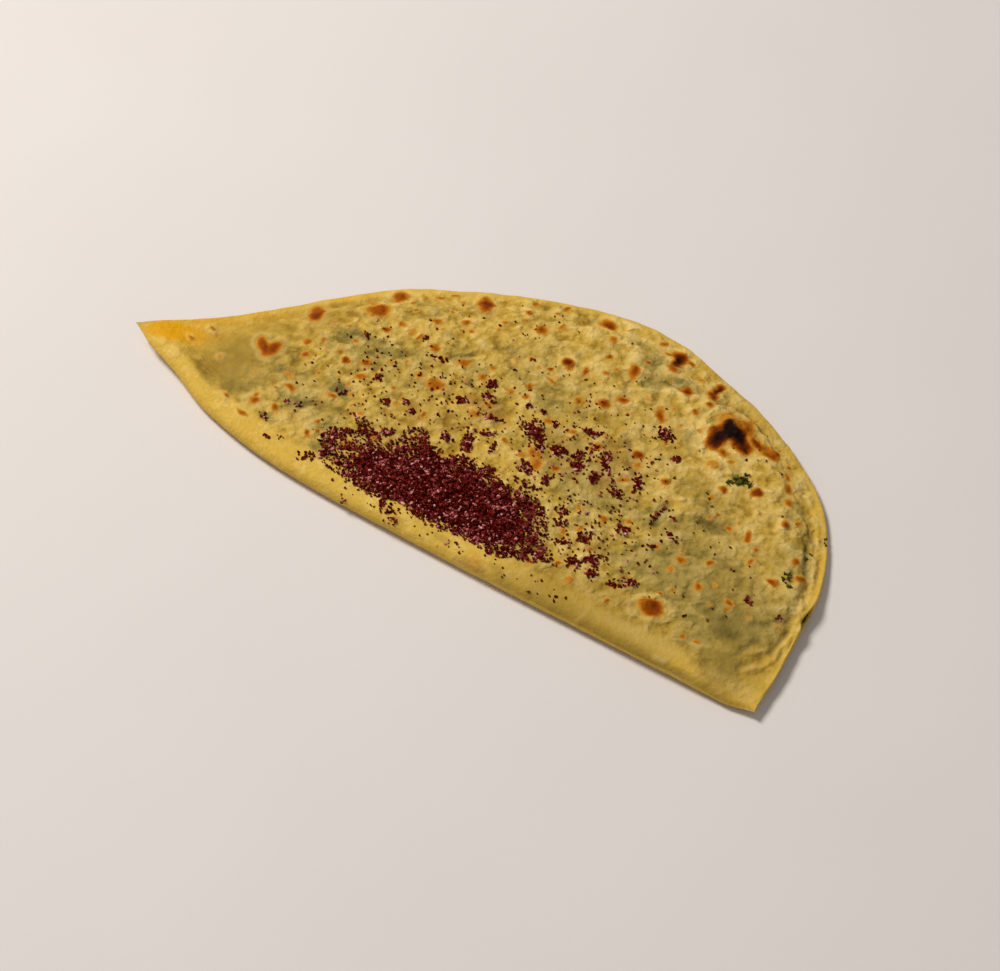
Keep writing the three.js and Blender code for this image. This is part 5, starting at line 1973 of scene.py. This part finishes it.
class QUTAB_OT_dough(bpy.types.Operator):
    """Fold the dough and brown it"""

    bl_idname = "qutab.dough"
    bl_label = "Folded dough"

    def execute(self, context):
        make_dough(context.scene.qutab_sizes, context.scene.qutab_looks)
        return {"FINISHED"}


class QUTAB_OT_greens(bpy.types.Operator):
    """Fill the fold with chopped greens"""

    bl_idname = "qutab.greens"
    bl_label = "Chopped greens"

    def execute(self, context):
        make_greens(context.scene.qutab_sizes, context.scene.qutab_looks)
        return {"FINISHED"}


class QUTAB_OT_leaf_shreds(bpy.types.Operator):
    """Add the shreds of leaf that show on the skin and at the seam"""

    bl_idname = "qutab.leaf_shreds"
    bl_label = "Leaf shreds"

    def execute(self, context):
        make_leaf_shreds(context.scene.qutab_looks)
        return {"FINISHED"}


class QUTAB_OT_sumac_heap(bpy.types.Operator):
    """Heap the sumac on the front slope"""

    bl_idname = "qutab.sumac_heap"
    bl_label = "Sumac heap"

    def execute(self, context):
        make_heap(context.scene.qutab_sizes, context.scene.qutab_looks)
        make_heap_crumbs(context.scene.qutab_sizes, context.scene.qutab_looks)
        return {"FINISHED"}


class QUTAB_OT_loose_sumac(bpy.types.Operator):
    """Scatter clusters and specks of sumac over the skin"""

    bl_idname = "qutab.loose_sumac"
    bl_label = "Loose sumac"

    def execute(self, context):
        crumb, looks = context.scene.qutab_sizes.crumb, context.scene.qutab_looks
        clusters = SEED + 3, SUMAC_CLUSTERS, clustered, crumb, CLUSTER_SIZES
        specks = SEED + 4, SUMAC_DRIFTS, strewn, crumb, SPECK_SIZES
        scatter("sumac_clusters", *clusters, looks)
        scatter("sumac_specks", *specks, looks)
        return {"FINISHED"}


class QUTAB_OT_stage(bpy.types.Operator):
    """Set the floor, the lights and the camera"""

    bl_idname = "qutab.stage"
    bl_label = "Stage"

    def execute(self, context):
        set_stage()
        return {"FINISHED"}


STEPS = (
    QUTAB_OT_stage, QUTAB_OT_dough, QUTAB_OT_greens, QUTAB_OT_leaf_shreds,
    QUTAB_OT_sumac_heap, QUTAB_OT_loose_sumac,
)


class QUTAB_PT_panel(bpy.types.Panel):
    """The sizes, the colours and the steps that build the bread"""

    bl_label = "Qutab"
    bl_space_type = "VIEW_3D"
    bl_region_type = "UI"
    bl_category = "Qutab"

    def draw(self, context):
        for group in (context.scene.qutab_sizes, context.scene.qutab_looks):
            for name in group.__annotations__:
                self.layout.prop(group, name)
        for step in STEPS:
            self.layout.operator(step.bl_idname)


CLASSES = (QutabSizes, QutabLooks, *STEPS, QUTAB_PT_panel)


def register():
    for kind in CLASSES:
        bpy.utils.register_class(kind)
    bpy.types.Scene.qutab_sizes = bpy.props.PointerProperty(type=QutabSizes)
    bpy.types.Scene.qutab_looks = bpy.props.PointerProperty(type=QutabLooks)


def unregister():
    del bpy.types.Scene.qutab_sizes
    del bpy.types.Scene.qutab_looks
    for kind in reversed(CLASSES):
        bpy.utils.unregister_class(kind)


def main():
    register()
    bpy.ops.qutab.stage()
    bpy.ops.qutab.dough()
    bpy.ops.qutab.greens()
    bpy.ops.qutab.leaf_shreds()
    bpy.ops.qutab.sumac_heap()
    bpy.ops.qutab.loose_sumac()
    boxes = {"cad": CAD_BOX, "visual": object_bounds()}
    {name: [list(corner) for corner in box] for name, box in boxes.items()}


if __name__ == "__main__":
    main()
